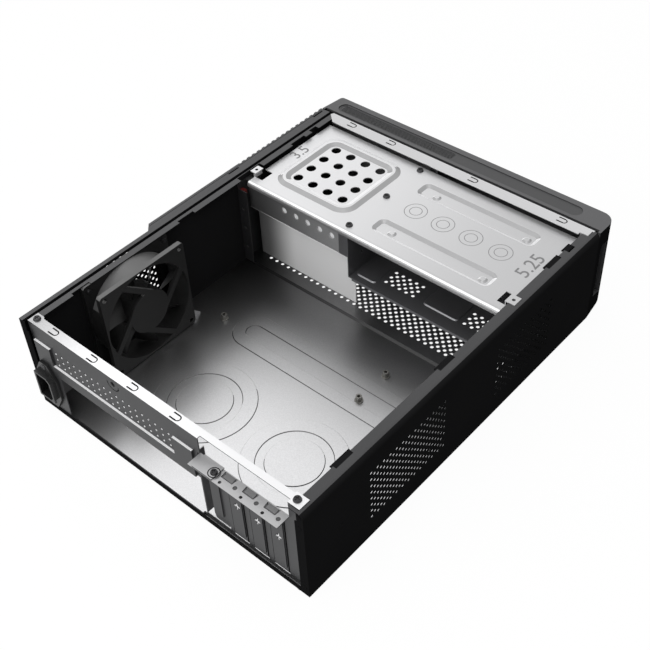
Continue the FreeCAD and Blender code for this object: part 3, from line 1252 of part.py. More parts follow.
def front_bezel():
    """Moulded front: thin-walled shell with round corner, top recess, bay and button holes."""
    shell = bezel_solid(0.0).cut(bezel_solid(BEZEL_WALL))
    x0 = GRILLE_LEFT
    x1 = GRILLE_LEFT + GRILLE_LENGTH
    y0 = GRILLE_BACK
    y1 = GRILLE_FRONT
    inside = BEZEL_WALL + 1
    mouth = BEZEL_FRONT - inside
    cutters = [
        block(-BEZEL_OVERHANG + BEZEL_WALL, CASE_WIDTH - BEZEL_WALL, SHELL_DEPTH - 1, BEZEL_BACK,
              BEZEL_WALL, PANEL_TOP + 1),
        rounded_block(x0, CASE_WIDTH - RECESS_RIGHT_EDGE, y0, y1, 9.0, PANEL_TOP - RECESS_DEPTH,
                      PANEL_TOP + 1),
        rounded_block(x0 + 2, x1 - 2, y0 + 2, y1 - 2, 7.0, PANEL_TOP - BEZEL_WALL - 1,
                      PANEL_TOP + 1),
        block(BAY_X0 + 1, BAY_X1 - 1, mouth, BEZEL_FRONT + 1, BAY_Z0 + 1, BAY_Z1 - 1),
        rod(POWER_X, mouth, BUTTON_Z, (0, 1, 0), POWER_RADIUS + BUTTON_GAP, inside + 1),
        rod(RESET_X, mouth, BUTTON_Z, (0, 1, 0), RESET_RADIUS + BUTTON_GAP, inside + 1),
    ]
    for x in LED_XS:
        cutters.append(rod(x, mouth, BUTTON_Z, (0, 1, 0), LED_RADIUS, inside + 1))
    for x in USB_XS:
        cutters.append(block(x, x + USB_SIZE[0], mouth, BEZEL_FRONT + 1,
                             PORT_Z - USB_SIZE[1] / 2, PORT_Z + USB_SIZE[1] / 2))
    for x in JACK_XS:
        cutters.append(rod(x, mouth, PORT_Z, (0, 1, 0), JACK_RADIUS, inside + 1))
    for index in range(LOUVRE_COUNT):
        z = LOUVRE_BOTTOM + index * LOUVRE_PITCH
        cutters.append(block(BAY_X0 + 6.5, BAY_X1 - 6.0, mouth, BEZEL_FRONT + 1,
                             z - LOUVRE_HEIGHT / 2, z + LOUVRE_HEIGHT / 2))
    ya = HAND_SLOT_BACK
    yb = HAND_SLOT_BACK + HAND_SLOT_LENGTH
    za = HAND_SLOT_BOTTOM
    zb = HAND_SLOT_TOP
    cutters.append(block(CASE_WIDTH - BEZEL_WALL - 1, CASE_WIDTH + 1, ya, yb, za, zb))
    pocket = block(CASE_WIDTH - HAND_SLOT_DEPTH - BEZEL_WALL, CASE_WIDTH - BEZEL_WALL + 0.2,
                   ya - 1.6, yb + 1.6, za - 1.6, zb + 1.6)
    hollow = block(CASE_WIDTH - HAND_SLOT_DEPTH, CASE_WIDTH, ya, yb, za, zb)
    return drill(shell, cutters).fuse(pocket.cut(hollow)).removeSplitter()


def bezel_mesh():
    """Fine mesh insert in the top of the bezel, seated under the recess."""
    x0 = GRILLE_LEFT
    x1 = GRILLE_LEFT + GRILLE_LENGTH
    y0 = GRILLE_BACK
    y1 = GRILLE_FRONT
    top = PANEL_TOP - RECESS_DEPTH - 0.2
    lip = rounded_block(x0 + 2.1, x1 - 2.1, y0 + 2.1, y1 - 2.1, 6.9, PANEL_TOP - BEZEL_WALL, top)
    flange = rounded_block(x0 + 0.5, x1 - 0.5, y0, y1 - 0.5, 8.5,
                           PANEL_TOP - BEZEL_WALL - 1.0, PANEL_TOP - BEZEL_WALL)
    return fuse([lip, flange])


def bay_cover():
    """Snap-in cover of the wide drive bay."""
    x0 = BAY_X0 + 1
    x1 = BAY_X1 - 1
    z0 = BAY_Z0 + 1
    z1 = BAY_Z1 - 1
    g = COVER_GAP
    plate = block(x0 + g, x1 - g, BEZEL_FRONT - BEZEL_WALL, BEZEL_FRONT - 0.4, z0 + g, z1 - g)
    rim = block(x0 - 2, x1 + 2, BEZEL_FRONT - BEZEL_WALL - 1.2, BEZEL_FRONT - BEZEL_WALL,
                z0 - 2, z1 + 2)
    finger = block(x0 + 12, x0 + 40, BEZEL_FRONT - 1.4, BEZEL_FRONT + 1, z0 + 3, z0 + 7)
    return fuse([plate, rim]).cut(finger)


def button(x, radius):
    """Push button with a collar that keeps it behind the bezel."""
    front = BEZEL_FRONT + BUTTON_PROUD
    back = BEZEL_FRONT - BEZEL_WALL - BUTTON_STEM
    cap = rod(x, back, BUTTON_Z, (0, 1, 0), radius, front - back)
    collar = rod(x, BEZEL_FRONT - BEZEL_WALL - BUTTON_FLANGE - BUTTON_SEAT, BUTTON_Z, (0, 1, 0),
                 radius + BUTTON_COLLAR, BUTTON_FLANGE)
    return fuse([cap, collar])


def switch_board():
    """Board behind the buttons that carries their switches, held on two bezel posts."""
    y = SWITCH_FACE
    half = POWER_RADIUS + BUTTON_COLLAR
    left = POWER_X - half - 3.4
    right = LED_XS[1] + LED_RADIUS + 2.5
    board = block(left - 2, right + 2, y - BOARD_THICKNESS, y, BUTTON_Z - half, BUTTON_Z + half)
    posts = []
    for x in (left, right):
        posts.append(rod(x, y, BUTTON_Z, (0, 1, 0), 1.5, BEZEL_FRONT - BEZEL_WALL - y))
    return fuse([board] + posts)


def led_lenses():
    """Light pipes between the switch board and the bezel."""
    lenses = []
    y = SWITCH_FACE
    for x in LED_XS:
        lenses.append(rod(x, y, BUTTON_Z, (0, 1, 0), LED_RADIUS - 0.1, BEZEL_FRONT - y - 0.1))
    return Part.makeCompound(lenses)


def port_block():
    """Front ports: two data sockets and two sound jacks on one block behind the bezel."""
    x0 = USB_XS[0] - PORT_BLOCK_MARGIN
    x1 = JACK_XS[1] + PORT_BLOCK_MARGIN
    z0 = PORT_Z - PORT_BLOCK_HEIGHT / 2
    z1 = PORT_Z + PORT_BLOCK_HEIGHT / 2
    front = BEZEL_FRONT - BEZEL_WALL
    body = block(x0, x1, front - PORT_BLOCK_DEPTH, front, z0, z1)
    cutters = []
    for x in USB_XS:
        cutters.append(block(x + 0.6, x + USB_SIZE[0] - 0.6, front - 9, front + 1,
                             PORT_Z - USB_SIZE[1] / 2 + 0.6, PORT_Z + USB_SIZE[1] / 2 - 0.6))
    for x in JACK_XS:
        cutters.append(rod(x, front - 10, PORT_Z, (0, 1, 0), 1.8, 12))
    tongues = []
    for x in USB_XS:
        tongues.append(block(x + 1.4, x + USB_SIZE[0] - 1.4, front - 9, front - 0.6,
                             PORT_Z - 0.2, PORT_Z + 1.0))
    return fuse([drill(body, cutters)] + tongues)


def side_guard():
    """Shallow ribbed cover on the outside of the fan-side wall, open towards the wall."""
    x0 = -GUARD_DEPTH
    z0 = GUARD_BOTTOM
    z1 = WALL_TOP
    w = GUARD_WALL
    slope = GUARD_START + GUARD_DEPTH
    plan = [(0.0, GUARD_START), (0.0, SHELL_DEPTH), (x0, SHELL_DEPTH), (x0, slope)]
    inner = [(0.1, GUARD_START + w), (0.1, SHELL_DEPTH - w), (x0 + w, SHELL_DEPTH - w),
             (x0 + w, slope + w * 0.6)]
    cover = slab(plan, "z", z0, z1).cut(slab(inner, "z", z0 + w, z1 - w))
    cutters = []
    for index in range(GUARD_TOOTH_COUNT):
        y = GUARD_START + GUARD_TOOTH_SETBACK + index * GUARD_TOOTH_PITCH
        cutters.append(block(x0 - 1, x0 + GUARD_TOOTH_DEPTH, y, y + GUARD_TOOTH_WIDTH,
                             z0 - 1, z1 + 1))
    for setback in GUARD_NOTCH_SETBACKS:
        y = GUARD_START + setback
        cutters.append(block(x0 + 3.6, x0 + 5.0, y, y + GUARD_NOTCH_LENGTH, z1 - w - 1, z1 + 1))
    return drill(cover, cutters)


def screw(x, y, z, radius, stem, length):
    """Pan-head screw standing on a face that looks up."""
    head = Part.makeCone(radius, radius * 0.8, SCREW_HEAD_HEIGHT, V(x, y, z))
    shank = hexagon(x, y, z - length, (0, 0, 1), stem, length)
    return fuse([head, shank])


def panel_screws():
    """Screws that hold the rear panel's flange at its two ends."""
    places = (END_SCREW_LEFT, CASE_WIDTH - END_SCREW_RIGHT)
    stem = END_SCREW_RADIUS - 0.3
    return Part.makeCompound([screw(x, END_SCREW_BACK, PANEL_TOP, SCREW_HEAD_RADIUS, stem, 0.8)
                              for x in places])


def plate_screws():
    """Screws through the drive plate into the divider side."""
    stem = PLATE_SCREW_RADIUS - 0.2
    return Part.makeCompound([screw(PLATE_SCREW_X, y, PLATE_Z, SCREW_HEAD_RADIUS, stem, 3.0)
                              for y in plate_screw_ys()])


def slot_screw():
    """Screw that holds the loose slot cover on the shelf."""
    x = slot_x(0) + SHELF_SCREW
    return screw(x, SHELF_SCREW_Y, SHELF_TOP + SHEET, 2.9, SHELF_SCREW_RADIUS - 0.2, 4.0)


def fan_screws():
    """Four self-tapping screws from the inside wall into the fan's outer flange."""
    screws = []
    for dy in (-FAN_HOLE_PITCH / 2, FAN_HOLE_PITCH / 2):
        for dz in (-FAN_HOLE_PITCH / 2, FAN_HOLE_PITCH / 2):
            y = FAN_Y + dy
            z = FAN_Z + dz
            head = rod(INNER_WALL - SCREW_HEAD_HEIGHT, y, z, (1, 0, 0), FAN_SCREW_HEAD_RADIUS,
                       SCREW_HEAD_HEIGHT)
            shank = hexagon(INNER_WALL, y, z, (1, 0, 0), FAN_HOLE_RADIUS - 0.05, FAN_SCREW_LENGTH)
            screws.append(head.fuse(shank))
    return Part.makeCompound(screws)


def shell_rivets():
    """Flat rivet heads on the shell's rear returns and vented wall."""
    rivets = []
    right = CASE_WIDTH - RETURN_VENT_SIDE / 2
    for x, z in ((right, 80.0), (right, 9.0), (right - 6, RETURN_BOTTOM / 2)):
        rivets.append(rod(x, -RIVET_HEIGHT, z, (0, 1, 0), RIVET_RADIUS, RIVET_HEIGHT))
    for y in (RIVET_REAR, SHELL_DEPTH - RIVET_SETBACK):
        rivets.append(rod(CASE_WIDTH, y, RIVET_Z, (1, 0, 0), RIVET_RADIUS, RIVET_HEIGHT))
    return Part.makeCompound(rivets)


def inlet_screws():
    """Two countersunk screws that hold the power inlet."""
    screws = []
    for dz in (-INLET_SCREW_PITCH / 2, INLET_SCREW_PITCH / 2):
        z = INLET_Z + dz
        head = Part.makeCone(2.9, 2.4, 1.0, V(INLET_X, PANEL_FACE - 2.5, z), V(0, -1, 0))
        shank = hexagon(INLET_X, PANEL_FACE - 2.5, z, (0, 1, 0), INLET_SCREW_HOLE - 0.1, 5.0)
        screws.append(head.fuse(shank))
    return Part.makeCompound(screws)


def pieces():
    """Every piece of the case by name."""
    return {
        "base_shell": base_shell(),
        "fan_side_frame": fan_side_frame(),
        "floor_pan": floor_pan(),
        "board_standoffs": standoffs(),
        "rear_panel": rear_panel(),
        "slot_cover": slot_cover(),
        "slot_screw": slot_screw(),
        "power_inlet": power_inlet(),
        "inlet_screws": inlet_screws(),
        "fan_frame": fan_frame(),
        "fan_rotor": fan_rotor(),
        "fan_screws": fan_screws(),
        "drive_plate": drive_plate(),
        "plate_screws": plate_screws(),
        "panel_screws": panel_screws(),
        "optical_tray": optical_tray(),
        "drive_rail_rear": drive_rail(LIP_INSIDE, LIP_FLAT_TOP),
        "drive_rail_front": drive_rail(PLATE_FRONT - RAIL_SETBACK, PLATE_UNDER),
        "bay_partition": bay_partition(),
        "corner_column": corner_column(),
        "cable_clip": cable_clip(),
        "front_frame": front_frame(),
        "front_bezel": front_bezel(),
        "bezel_mesh": bezel_mesh(),
        "bay_cover": bay_cover(),
        "power_button": button(POWER_X, POWER_RADIUS),
        "reset_button": button(RESET_X, RESET_RADIUS),
        "switch_board": switch_board(),
        "led_lenses": led_lenses(),
        "port_block": port_block(),
        "side_guard": side_guard(),
        "shell_rivets": shell_rivets(),
    }


def to_part_frame(shape):
    """Turn a piece so that the front faces -Y and put the origin at the bottom centre."""
    turned = shape.copy()
    turned.translate(V(-CENTRE_X, -CENTRE_Y, 0))
    turned.rotate(V(0, 0, 0), V(0, 0, 1), 180)
    return turned


def main():
    os.makedirs("parts", exist_ok=True)
    for name, shape in pieces().items():
        to_part_frame(shape).exportStep(os.path.join("parts", name + ".step"))


main()
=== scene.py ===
"""Dressed model of an open slim desktop computer case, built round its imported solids."""

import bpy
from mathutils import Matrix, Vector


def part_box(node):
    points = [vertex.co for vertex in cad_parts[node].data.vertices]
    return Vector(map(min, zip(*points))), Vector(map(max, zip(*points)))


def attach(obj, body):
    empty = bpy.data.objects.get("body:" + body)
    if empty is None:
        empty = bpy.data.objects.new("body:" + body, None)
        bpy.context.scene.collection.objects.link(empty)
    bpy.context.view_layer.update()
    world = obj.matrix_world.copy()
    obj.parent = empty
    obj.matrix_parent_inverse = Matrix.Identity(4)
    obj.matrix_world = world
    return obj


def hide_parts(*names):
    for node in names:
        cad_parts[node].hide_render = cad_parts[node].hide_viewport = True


bl_info = {
    "name": "Open slim desktop case",
    "version": (1, 0, 0),
    "blender": (4, 5, 0),
    "location": "View3D > Sidebar > Case",
    "description": "Builds an open slim desktop computer case round its packed solids",
    "category": "Add Mesh",
}

import math

import bpy
from bpy.props import FloatProperty, FloatVectorProperty, IntProperty, PointerProperty
from mathutils import Matrix, Vector

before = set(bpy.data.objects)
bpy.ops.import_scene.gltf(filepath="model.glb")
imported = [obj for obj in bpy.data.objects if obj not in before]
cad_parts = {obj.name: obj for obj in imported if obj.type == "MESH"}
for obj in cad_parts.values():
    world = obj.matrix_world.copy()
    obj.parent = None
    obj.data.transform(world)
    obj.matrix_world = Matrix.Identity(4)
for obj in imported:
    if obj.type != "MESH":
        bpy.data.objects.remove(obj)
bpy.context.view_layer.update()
MM = 0.001

# The shell's fan-side face and rear face give the place of everything in the case
SHELL_LOW, SHELL_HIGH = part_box("base_shell")


def at(x, y, z=0.0):
    """Point from millimetres: x from the fan-side face, y forward from the rear face, z up."""
    return Vector((SHELL_HIGH[0] - x * MM, SHELL_HIGH[1] - y * MM, z * MM))


def datum(point):
    """Millimetres from the fan-side face, forward from the rear face and up, of a point."""
    return (SHELL_HIGH[0] - point[0]) / MM, (SHELL_HIGH[1] - point[1]) / MM, point[2] / MM


def length(name, description, millimetres):
    """Length property, given in millimetres."""
    return FloatProperty(name=name, description=description, default=millimetres * MM,
                         min=0.05 * MM, max=500.0 * MM, unit="LENGTH", precision=5)


def colour(name, description, red, green, blue):
    """Colour property, in linear light."""
    return FloatVectorProperty(name=name, description=description, default=(red, green, blue),
                               min=0.0, max=1.0, size=3, subtype="COLOR")


class CaseSizes(bpy.types.PropertyGroup):
    """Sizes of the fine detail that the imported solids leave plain."""
    edge: length("Sheet edge", "Softness of a cut sheet edge", 0.12)
    moulded_edge: length("Moulded edge", "Softness of the edges of moulded pieces", 0.35)
    vent_hole: length("Wall vent", "Diameter of the holes in the vented wall", 3.1)
    vent_pitch: length("Wall vent pitch", "Distance between holes in a row of the wall", 7.2)
    strip_hole: length("Floor vent", "Diameter of the holes in floor and tray", 3.3)
    strip_pitch: length("Floor vent pitch", "Distance between holes in a row of the floor", 7.33)
    panel_hole: length("Panel vent", "Diameter of the holes in the rear panel", 2.3)
    panel_pitch: length("Panel vent pitch", "Distance between holes in a row of the panel", 7.16)
    panel_row: length("Panel vent rows", "Distance between the rows of the panel", 6.4)
    lance_length: length("Lance length", "Length of a pressed tongue in a flange", 9.0)
    lance_width: length("Lance width", "Width of a pressed tongue in a flange", 6.0)
    lance_slit: length("Lance slit", "Width of the slit round a pressed tongue", 1.25)
    grille_hole: length("Grille hole", "Width of the holes of the fine grille", 1.05)
    grille_pitch: length("Grille pitch", "Distance between holes of the fine grille", 1.7)
    stamp: length("Stamp width", "Width of stamped lines", 0.6)
    plate_edge: length("Plate edge", "Softness of the pressed steps of the drive plate", 0.6)
    turned_edge: length("Turned edge", "Softness of the edges of the board posts", 0.25)
    blade_edge: length("Blade edge", "Softness of the rotor and of the posts' collars", 0.3)
    round_sides: IntProperty(name="Sides of a hole", description="Faces round each vent hole",
                             default=12, min=6, max=32)


class CaseFinish(bpy.types.PropertyGroup):
    """Colours of the case, and the strength of its grain."""
    shell: colour("Shell", "Black coat of the outer shell", 0.013, 0.013, 0.0135)
    # Painted highlight: the shell's black coat drawn lighter on its upward rims
    rim: colour("Rims", "Coat on the upward rims of the shell", 0.055, 0.055, 0.057)
    floor: colour("Floor", "Plain zinc of the floor", 0.80, 0.80, 0.81)
    panel: colour("Panel", "Grey zinc of the rear panel", 0.105, 0.106, 0.110)
    # Painted highlight: the panel's zinc drawn bright on its upward flanges
    bright: colour("Flange", "Bright zinc of the flanges", 0.84, 0.84, 0.85)
    plate: colour("Drive plate", "Light zinc of the drive plate", 0.80, 0.80, 0.81)
    tray: colour("Tray", "Shaded zinc of the tray", 0.22, 0.22, 0.23)
    fan: colour("Fan", "Black of the fan", 0.012, 0.012, 0.012)
    bezel: colour("Front", "Dark grey of the moulded front", 0.085, 0.085, 0.088)
    dark: colour("Dark steel", "Dark coat of the corner column and the inlet", 0.018, 0.018, 0.019)
    screw: colour("Screws", "Blackened steel of the screws", 0.05, 0.05, 0.052)
    steel: colour("Post steel", "Steel of the board posts", 0.50, 0.49, 0.46)
    clip: colour("Clip", "Red of the cable clip", 0.10, 0.008, 0.007)
    backdrop: colour("Backdrop", "Ground of the stage", 0.30, 0.30, 0.30)
    grain: FloatProperty(name="Grain", description="Strength of the spangle of the zinc",
                         default=0.5, min=0.0, max=1.0, subtype="FACTOR")


def sizes():
    """Sizes set in the scene."""
    return bpy.context.scene.case_sizes


def finish():
    """Colours set in the scene."""
    return bpy.context.scene.case_finish


# Shader maths

class Wire:
    """Shader socket that takes part in sums, so that a pattern reads as an expression."""

    def __init__(self, nodes, socket):
        self.nodes = nodes
        self.socket = socket

    def sum(self, operation, first, second):
        return self.nodes.node("ShaderNodeMath", {"operation": operation}, {0: first, 1: second})

    def __add__(self, other):
        return self.sum("ADD", self, other)

    __radd__ = __add__

    def __mul__(self, other):
        return self.sum("MULTIPLY", self, other)

    __rmul__ = __mul__


class Nodes:
    """Node tree that is filled from expressions."""

    def __init__(self, tree):
        self.tree = tree

    def feed(self, socket, value):
        """Link or value of one socket."""
        if isinstance(value, Wire):
            self.tree.links.new(value.socket, socket)
        else:
            socket.default_value = value

    def node(self, kind, settings=None, sockets=None, output=0):
        """Node of a type, with its settings and then the values or links of its sockets."""
        node = self.tree.nodes.new(kind)
        for name, value in (settings or {}).items():
            setattr(node, name, value)
        for name, value in (sockets or {}).items():
            self.feed(node.inputs[name], value)
        return None if output is None else Wire(self, node.outputs[output])

    def larger(self, first, second):
        """Larger of two values."""
        return self.node("ShaderNodeMath", {"operation": "MAXIMUM"}, {0: first, 1: second})

    def seen(self):
        """1 where the camera looks straight, in a reflection or through glass."""
        direct = self.node("ShaderNodeLightPath", output="Is Camera Ray")
        mirrored = self.node("ShaderNodeLightPath", output="Is Glossy Ray")
        passed = self.node("ShaderNodeLightPath", output="Is Transmission Ray")
        return self.larger(direct, self.larger(mirrored, passed))


class Paint(Nodes):
    """Material with one surface shader and the patterns that feed it."""

    def __init__(self, name, base, roughness, metallic=0.0):
        self.material = bpy.data.materials.new(name)
        self.material.use_nodes = True
        super().__init__(self.material.node_tree)
        self.shader = self.tree.nodes["Principled BSDF"]
        self.set({"Base Color": (*base, 1.0), "Roughness": roughness, "Metallic": metallic})

    def set(self, sockets):
        """Values or links of the surface shader."""
        for name, value in sockets.items():
            self.feed(self.shader.inputs[name], value)

    def place(self):
        """Object coordinates."""
        return self.node("ShaderNodeTexCoord", output="Object")

    def along(self, direction, start, end):
        """0 to 1 along a direction, between two distances in metres."""
        run = self.node("ShaderNodeVectorMath", {"operation": "DOT_PRODUCT"},
                        {0: self.place(), 1: direction}, output="Value")
        return self.node("ShaderNodeMapRange", {"interpolation_type": "SMOOTHSTEP"},
                         {"Value": run, "From Min": start, "From Max": end})

    def noise(self, size_mm, detail=2.0):
        """Noise with grains of a size."""
        return self.node("ShaderNodeTexNoise", {}, {
            "Vector": self.place(), "Scale": 1000.0 / size_mm, "Detail": detail,
            "Roughness": 0.5})

    def blend(self, factor, low, high):
        """Colour between two, by a factor, with the colour sockets of the node."""
        colours = {6: low if isinstance(low, Wire) else (*low, 1.0),
                   7: high if isinstance(high, Wire) else (*high, 1.0)}
        return self.node("ShaderNodeMix", {"data_type": "RGBA"}, {0: factor, **colours},
                         output=2)

    def bump(self, height, strength, depth_mm):
        """Bump that feeds the normal."""
        self.set({"Normal": self.node("ShaderNodeBump", {}, {
            "Strength": strength, "Distance": depth_mm * MM, "Height": height})})


def tinted(base, factor):
    """Colour made lighter or darker."""
    return tuple(min(1.0, part * factor) for part in base)


# Every finish by the name that paint() takes, made by the first step that runs
PAINTS = {}

# Directions along which a zinc sheet's painted shade lifts and it grows brighter
REARWARD, FORWARD = (0, 1, 0), (0, -1, 0)
TO_FAN, TO_VENTS = (1, 0, 0), (-1, 0, 0)

# Near-white colours of painted light: pressed edges in the light, and the lit floor slopes and the
# partition
PALE = (0.95, 0.95, 0.96)
WHITE = (0.97, 0.97, 0.97)

# Millimetres of the spangle, and of the wide unevenness of zinc and of a coat
GRAIN_SIZE, CLOUD_SIZE, COAT_CLOUD_SIZE = 0.9, 38.0, 60.0


def zinc(name, base, roughness, metallic=1.0, spread=0.10, depth=0.012, shade_gradients=()):
    """Zinc-coated sheet with a fine spangle.

    The last argument lists gradients of painted shade: each a direction, its start and end in
    metres and the tone before it.
    """
    paint = Paint(name, base, roughness, metallic)
    grain = paint.noise(GRAIN_SIZE)
    cloud = paint.noise(CLOUD_SIZE, 1.0)
    weight = finish().grain
    shade = paint.blend(grain, tinted(base, 1 - spread * weight * 2),
                        tinted(base, 1 + spread * weight * 2))
    for direction, start, end, factor in shade_gradients:
        painted_shade = paint.node("ShaderNodeVectorMath", {"operation": "SCALE"},
                          {0: shade, "Scale": factor})
        shade = paint.blend(paint.along(direction, start, end), painted_shade, shade)
    paint.set({"Base Color": shade,
               "Roughness": roughness - 0.05 + 0.06 * cloud + 0.05 * grain})
    paint.bump(grain, 0.5 * weight, depth)
    return paint.material


def coat(name, base, roughness, depth=0.02, size=0.5, gloss=0.5):
    """Fine powder coat, with gloss as the level of its reflections."""
    paint = Paint(name, base, roughness)
    grain = paint.noise(size)
    cloud = paint.noise(COAT_CLOUD_SIZE, 1.0)
    paint.set({"Specular IOR Level": gloss,
               "Base Color": paint.blend(cloud, tinted(base, 0.9), tinted(base, 1.12)),
               "Roughness": roughness - 0.04 + 0.08 * grain})
    paint.bump(grain, 0.35, depth)
    return paint.material


def coat_paints(tone):
    """Finishes of the coated and moulded pieces."""
    return {
        "shell": coat("black powder coat", tone.shell, 0.50, gloss=0.0),
        # The rims: the shell's coat with a painted highlight, brighter on the fan side
        "rim": coat("coat of the rims in painted highlight", tone.rim, 0.45, gloss=0.3),
        "rim light": coat("coat of the fan-side rims in brighter painted highlight", tinted(tone.rim, 1.15), 0.45,
                          gloss=0.4),
        "fan": coat("fan black", tinted(tone.fan, 1.1), 0.45, 0.015, 0.8, 0.22),
        # Painted highlight on the fan's upward top faces
        "lit fan top": coat("fan black in painted highlight", tinted(tone.fan, 9.0), 0.42, 0.015, 0.8),
        "rotor": coat("rotor black", tone.fan, 0.5, 0.01, 0.9, 0.35),
        # The front's grey, and copies of it in painted half shade and deep painted shade
        "bezel": coat("moulded grey", tone.bezel, 0.44, 0.03, 0.35),
        "bezel half shade": coat("moulded dark grey", tinted(tone.bezel, 0.6), 0.5, 0.03, 0.35),
        "bezel deep shade": coat("moulded black", tinted(tone.bezel, 0.10), 0.5, 0.03, 0.35, 0.0),
        "dark": coat("dark steel", tone.dark, 0.42),
        "hollow": coat("inlet black", tinted(tone.dark, 0.45), 0.4),
    }


def sheet_paints(tone):
    """Finishes of the floor, the rear panel and the flanges."""
    # Painted shade: the floor darkens towards the front and towards the fan side
    floor_shading = ((REARWARD, -0.06, 0.12, 0.30), (TO_VENTS, -0.13, 0.02, 0.55))
    return {
        "floor": zinc("floor zinc with painted shade", tinted(tone.floor, 0.93), 0.33, spread=0.16,
                      shade_gradients=floor_shading),
        "floor shade": zinc("floor slope in shade", tinted(tone.floor, 0.22), 0.4,
                            shade_gradients=floor_shading),
        "floor light": zinc("floor slope in light", WHITE, 0.45, 0.3, 0.04,
                            shade_gradients=floor_shading),
        "panel": zinc("grey panel zinc", tinted(tone.panel, 0.54), 0.46, 0.75, 0.05),
        # Painted highlights of the panel's upward faces, and painted shade of its sloped tongues
        "bright": zinc("flange zinc in painted highlight", tone.bright, 0.40, 0.9, 0.03,
                       shade_gradients=((TO_VENTS, -0.15, -0.04, 0.48),)),
        "ledge": zinc("pressed edge zinc in painted highlight", PALE, 0.5, 0.0, 0.02),
        "tongue": zinc("tongue zinc in painted shade", tinted(tone.bright, 0.22), 0.45, 0.8, 0.03),
        "flange": zinc("front flange zinc", tinted(tone.bright, 0.76), 0.42, 0.9, 0.03),
        "shelf": zinc("screw shelf zinc in painted highlight", tinted(tone.bright, 0.58), 0.42, 0.9, 0.03),
    }


def bay_paints(tone):
    """Finishes of the drive plate and of what hangs under it."""
    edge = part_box("drive_plate")[1][1]
    # Painted shade: the plate darkens towards the vented wall and along its rear lip
    plate_shading = ((TO_FAN, -0.15, 0.12, 0.70), (FORWARD, -edge, 0.006 - edge, 0.72))
    return {
        "plate": zinc("drive plate zinc with painted shade", tone.plate, 0.42, 0.85, 0.04, shade_gradients=plate_shading),
        "plate shade": zinc("plate slope in shade", tinted(tone.plate, 0.46), 0.45, 0.7, 0.04),
        "plate light": zinc("plate slope in light", PALE, 0.45, 0.5, 0.04),
        # The partition is painted near white as painted light, with painted shade towards the fan
        # side
        "wall": zinc("partition zinc in painted light and shade", WHITE, 0.5, 0.0, 0.01,
                     shade_gradients=((TO_VENTS, -0.125, -0.085, 0.16),)),
        # The tray's zinc is darkened as painted shade
        "tray": zinc("tray zinc in painted shade", tone.tray, 0.36, 0.8, 0.06),
        # Painted shade: the rail darkens towards the fan side
        "rail": zinc("rail zinc with painted shade", tinted(tone.plate, 0.55), 0.45, 0.6, 0.08,
                     shade_gradients=((TO_VENTS, -0.13, -0.035, 0.22),)),
        # Pale sheet behind the rail: painted light seen through its holes
        "backing": zinc("painted light behind the rail holes", PALE, 0.5, 0.0, 0.02),
    }


def plain_paints(tone):
    """Finishes of the small pieces."""
    board = Paint("green board", (0.015, 0.07, 0.03), 0.45)
    board.bump(board.noise(1.2), 0.2, 0.05)
    lens = Paint("clear lens", (0.72, 0.78, 0.82), 0.12)
    lens.set({"IOR": 1.49, "Transmission Weight": 0.6})
    return {
        "board": board.material,
        "lens": lens.material,
        "screw": Paint("blackened screw", tone.screw, 0.32, 0.8).material,
        "post": Paint("dull post steel", tinted(tone.steel, 0.45), 0.42, 0.9).material,
        "clip": Paint("red clip", tone.clip, 0.35).material,
        "stamp": Paint("stamped line", tinted(tone.plate, 0.30), 0.6, 0.6).material,
    }


def make_paints():
    """Every finish of the case."""
    for group in (coat_paints, sheet_paints, bay_paints, plain_paints):
        PAINTS.update(group(finish()))


# Modelling helpers

# Distance in metres and angle in degrees under which a solid's points and faces are merged
SAME_POINT, SAME_PLANE = 0.00001, 0.3

# A pressed slope rises between these, and leans away from the camera side beyond the last
UPRIGHT, LEVEL, LEAN = 0.04, 0.96, 0.14
AWAY = Vector((0.7, -0.7, 0.0))

# Cross recess: half its span and half its width as shares of the head, and its depth
CROSS_REACH, CROSS_HALF, CROSS_DEPTH = 0.29, 0.065, 0.7 * MM

# Millimetres of every sheet, and metres of the pegs that cut holes through it
SHEET, PEG_LENGTH = 0.8, 3.0 * MM


def object_mode():
    """Leaves edit mode with nothing selected."""
    if bpy.context.mode != "OBJECT":
        bpy.ops.object.mode_set(mode="OBJECT")
    bpy.ops.object.select_all(action="DESELECT")


def pick(piece):
    """Selects one object alone."""
    object_mode()
    piece.select_set(True)
    bpy.context.view_layer.objects.active = piece
    return piece


def edit_all(piece):
    """Opens a piece in edit mode with all of its mesh selected."""
    pick(piece)
    bpy.ops.object.mode_set(mode="EDIT")
    bpy.ops.mesh.select_all(action="SELECT")


def settle(piece, name):
    """Names a piece and puts its place, turn and scale into its mesh."""
    pick(piece)
    bpy.ops.object.transform_apply(location=True, rotation=True, scale=True)
    piece.name = name
    return piece


def box(low, high, name="box"):
    """Cube primitive between two corners."""
    object_mode()
    middle = (Vector(low) + Vector(high)) / 2
    span = [abs(a - b) for a, b in zip(high, low)]
    bpy.ops.mesh.primitive_cube_add(size=1, location=middle, scale=span)
    return settle(bpy.context.object, name)


def corners(x0, x1, y0, y1, z0, z1):
    """Lowest and highest corner in metres, from case millimetres."""
    return at(x1, y1, z0), at(x0, y0, z1)


def between(x0, x1, y0, y1, z0, z1, name="box"):
    """Cube primitive between two corners in case millimetres."""
    return box(*corners(x0, x1, y0, y1, z0, z1), name)


def peg(centre, axis, radius, depth, sides):
    """Cylinder primitive round a point, along an axis, in metres."""
    object_mode()
    turns = {"X": (0, math.pi / 2, 0), "Y": (math.pi / 2, 0, 0), "Z": (0, 0, 0)}[axis]
    bpy.ops.mesh.primitive_cylinder_add(vertices=sides, radius=radius, depth=depth,
                                        location=centre, rotation=turns)
    return settle(bpy.context.object, "peg")


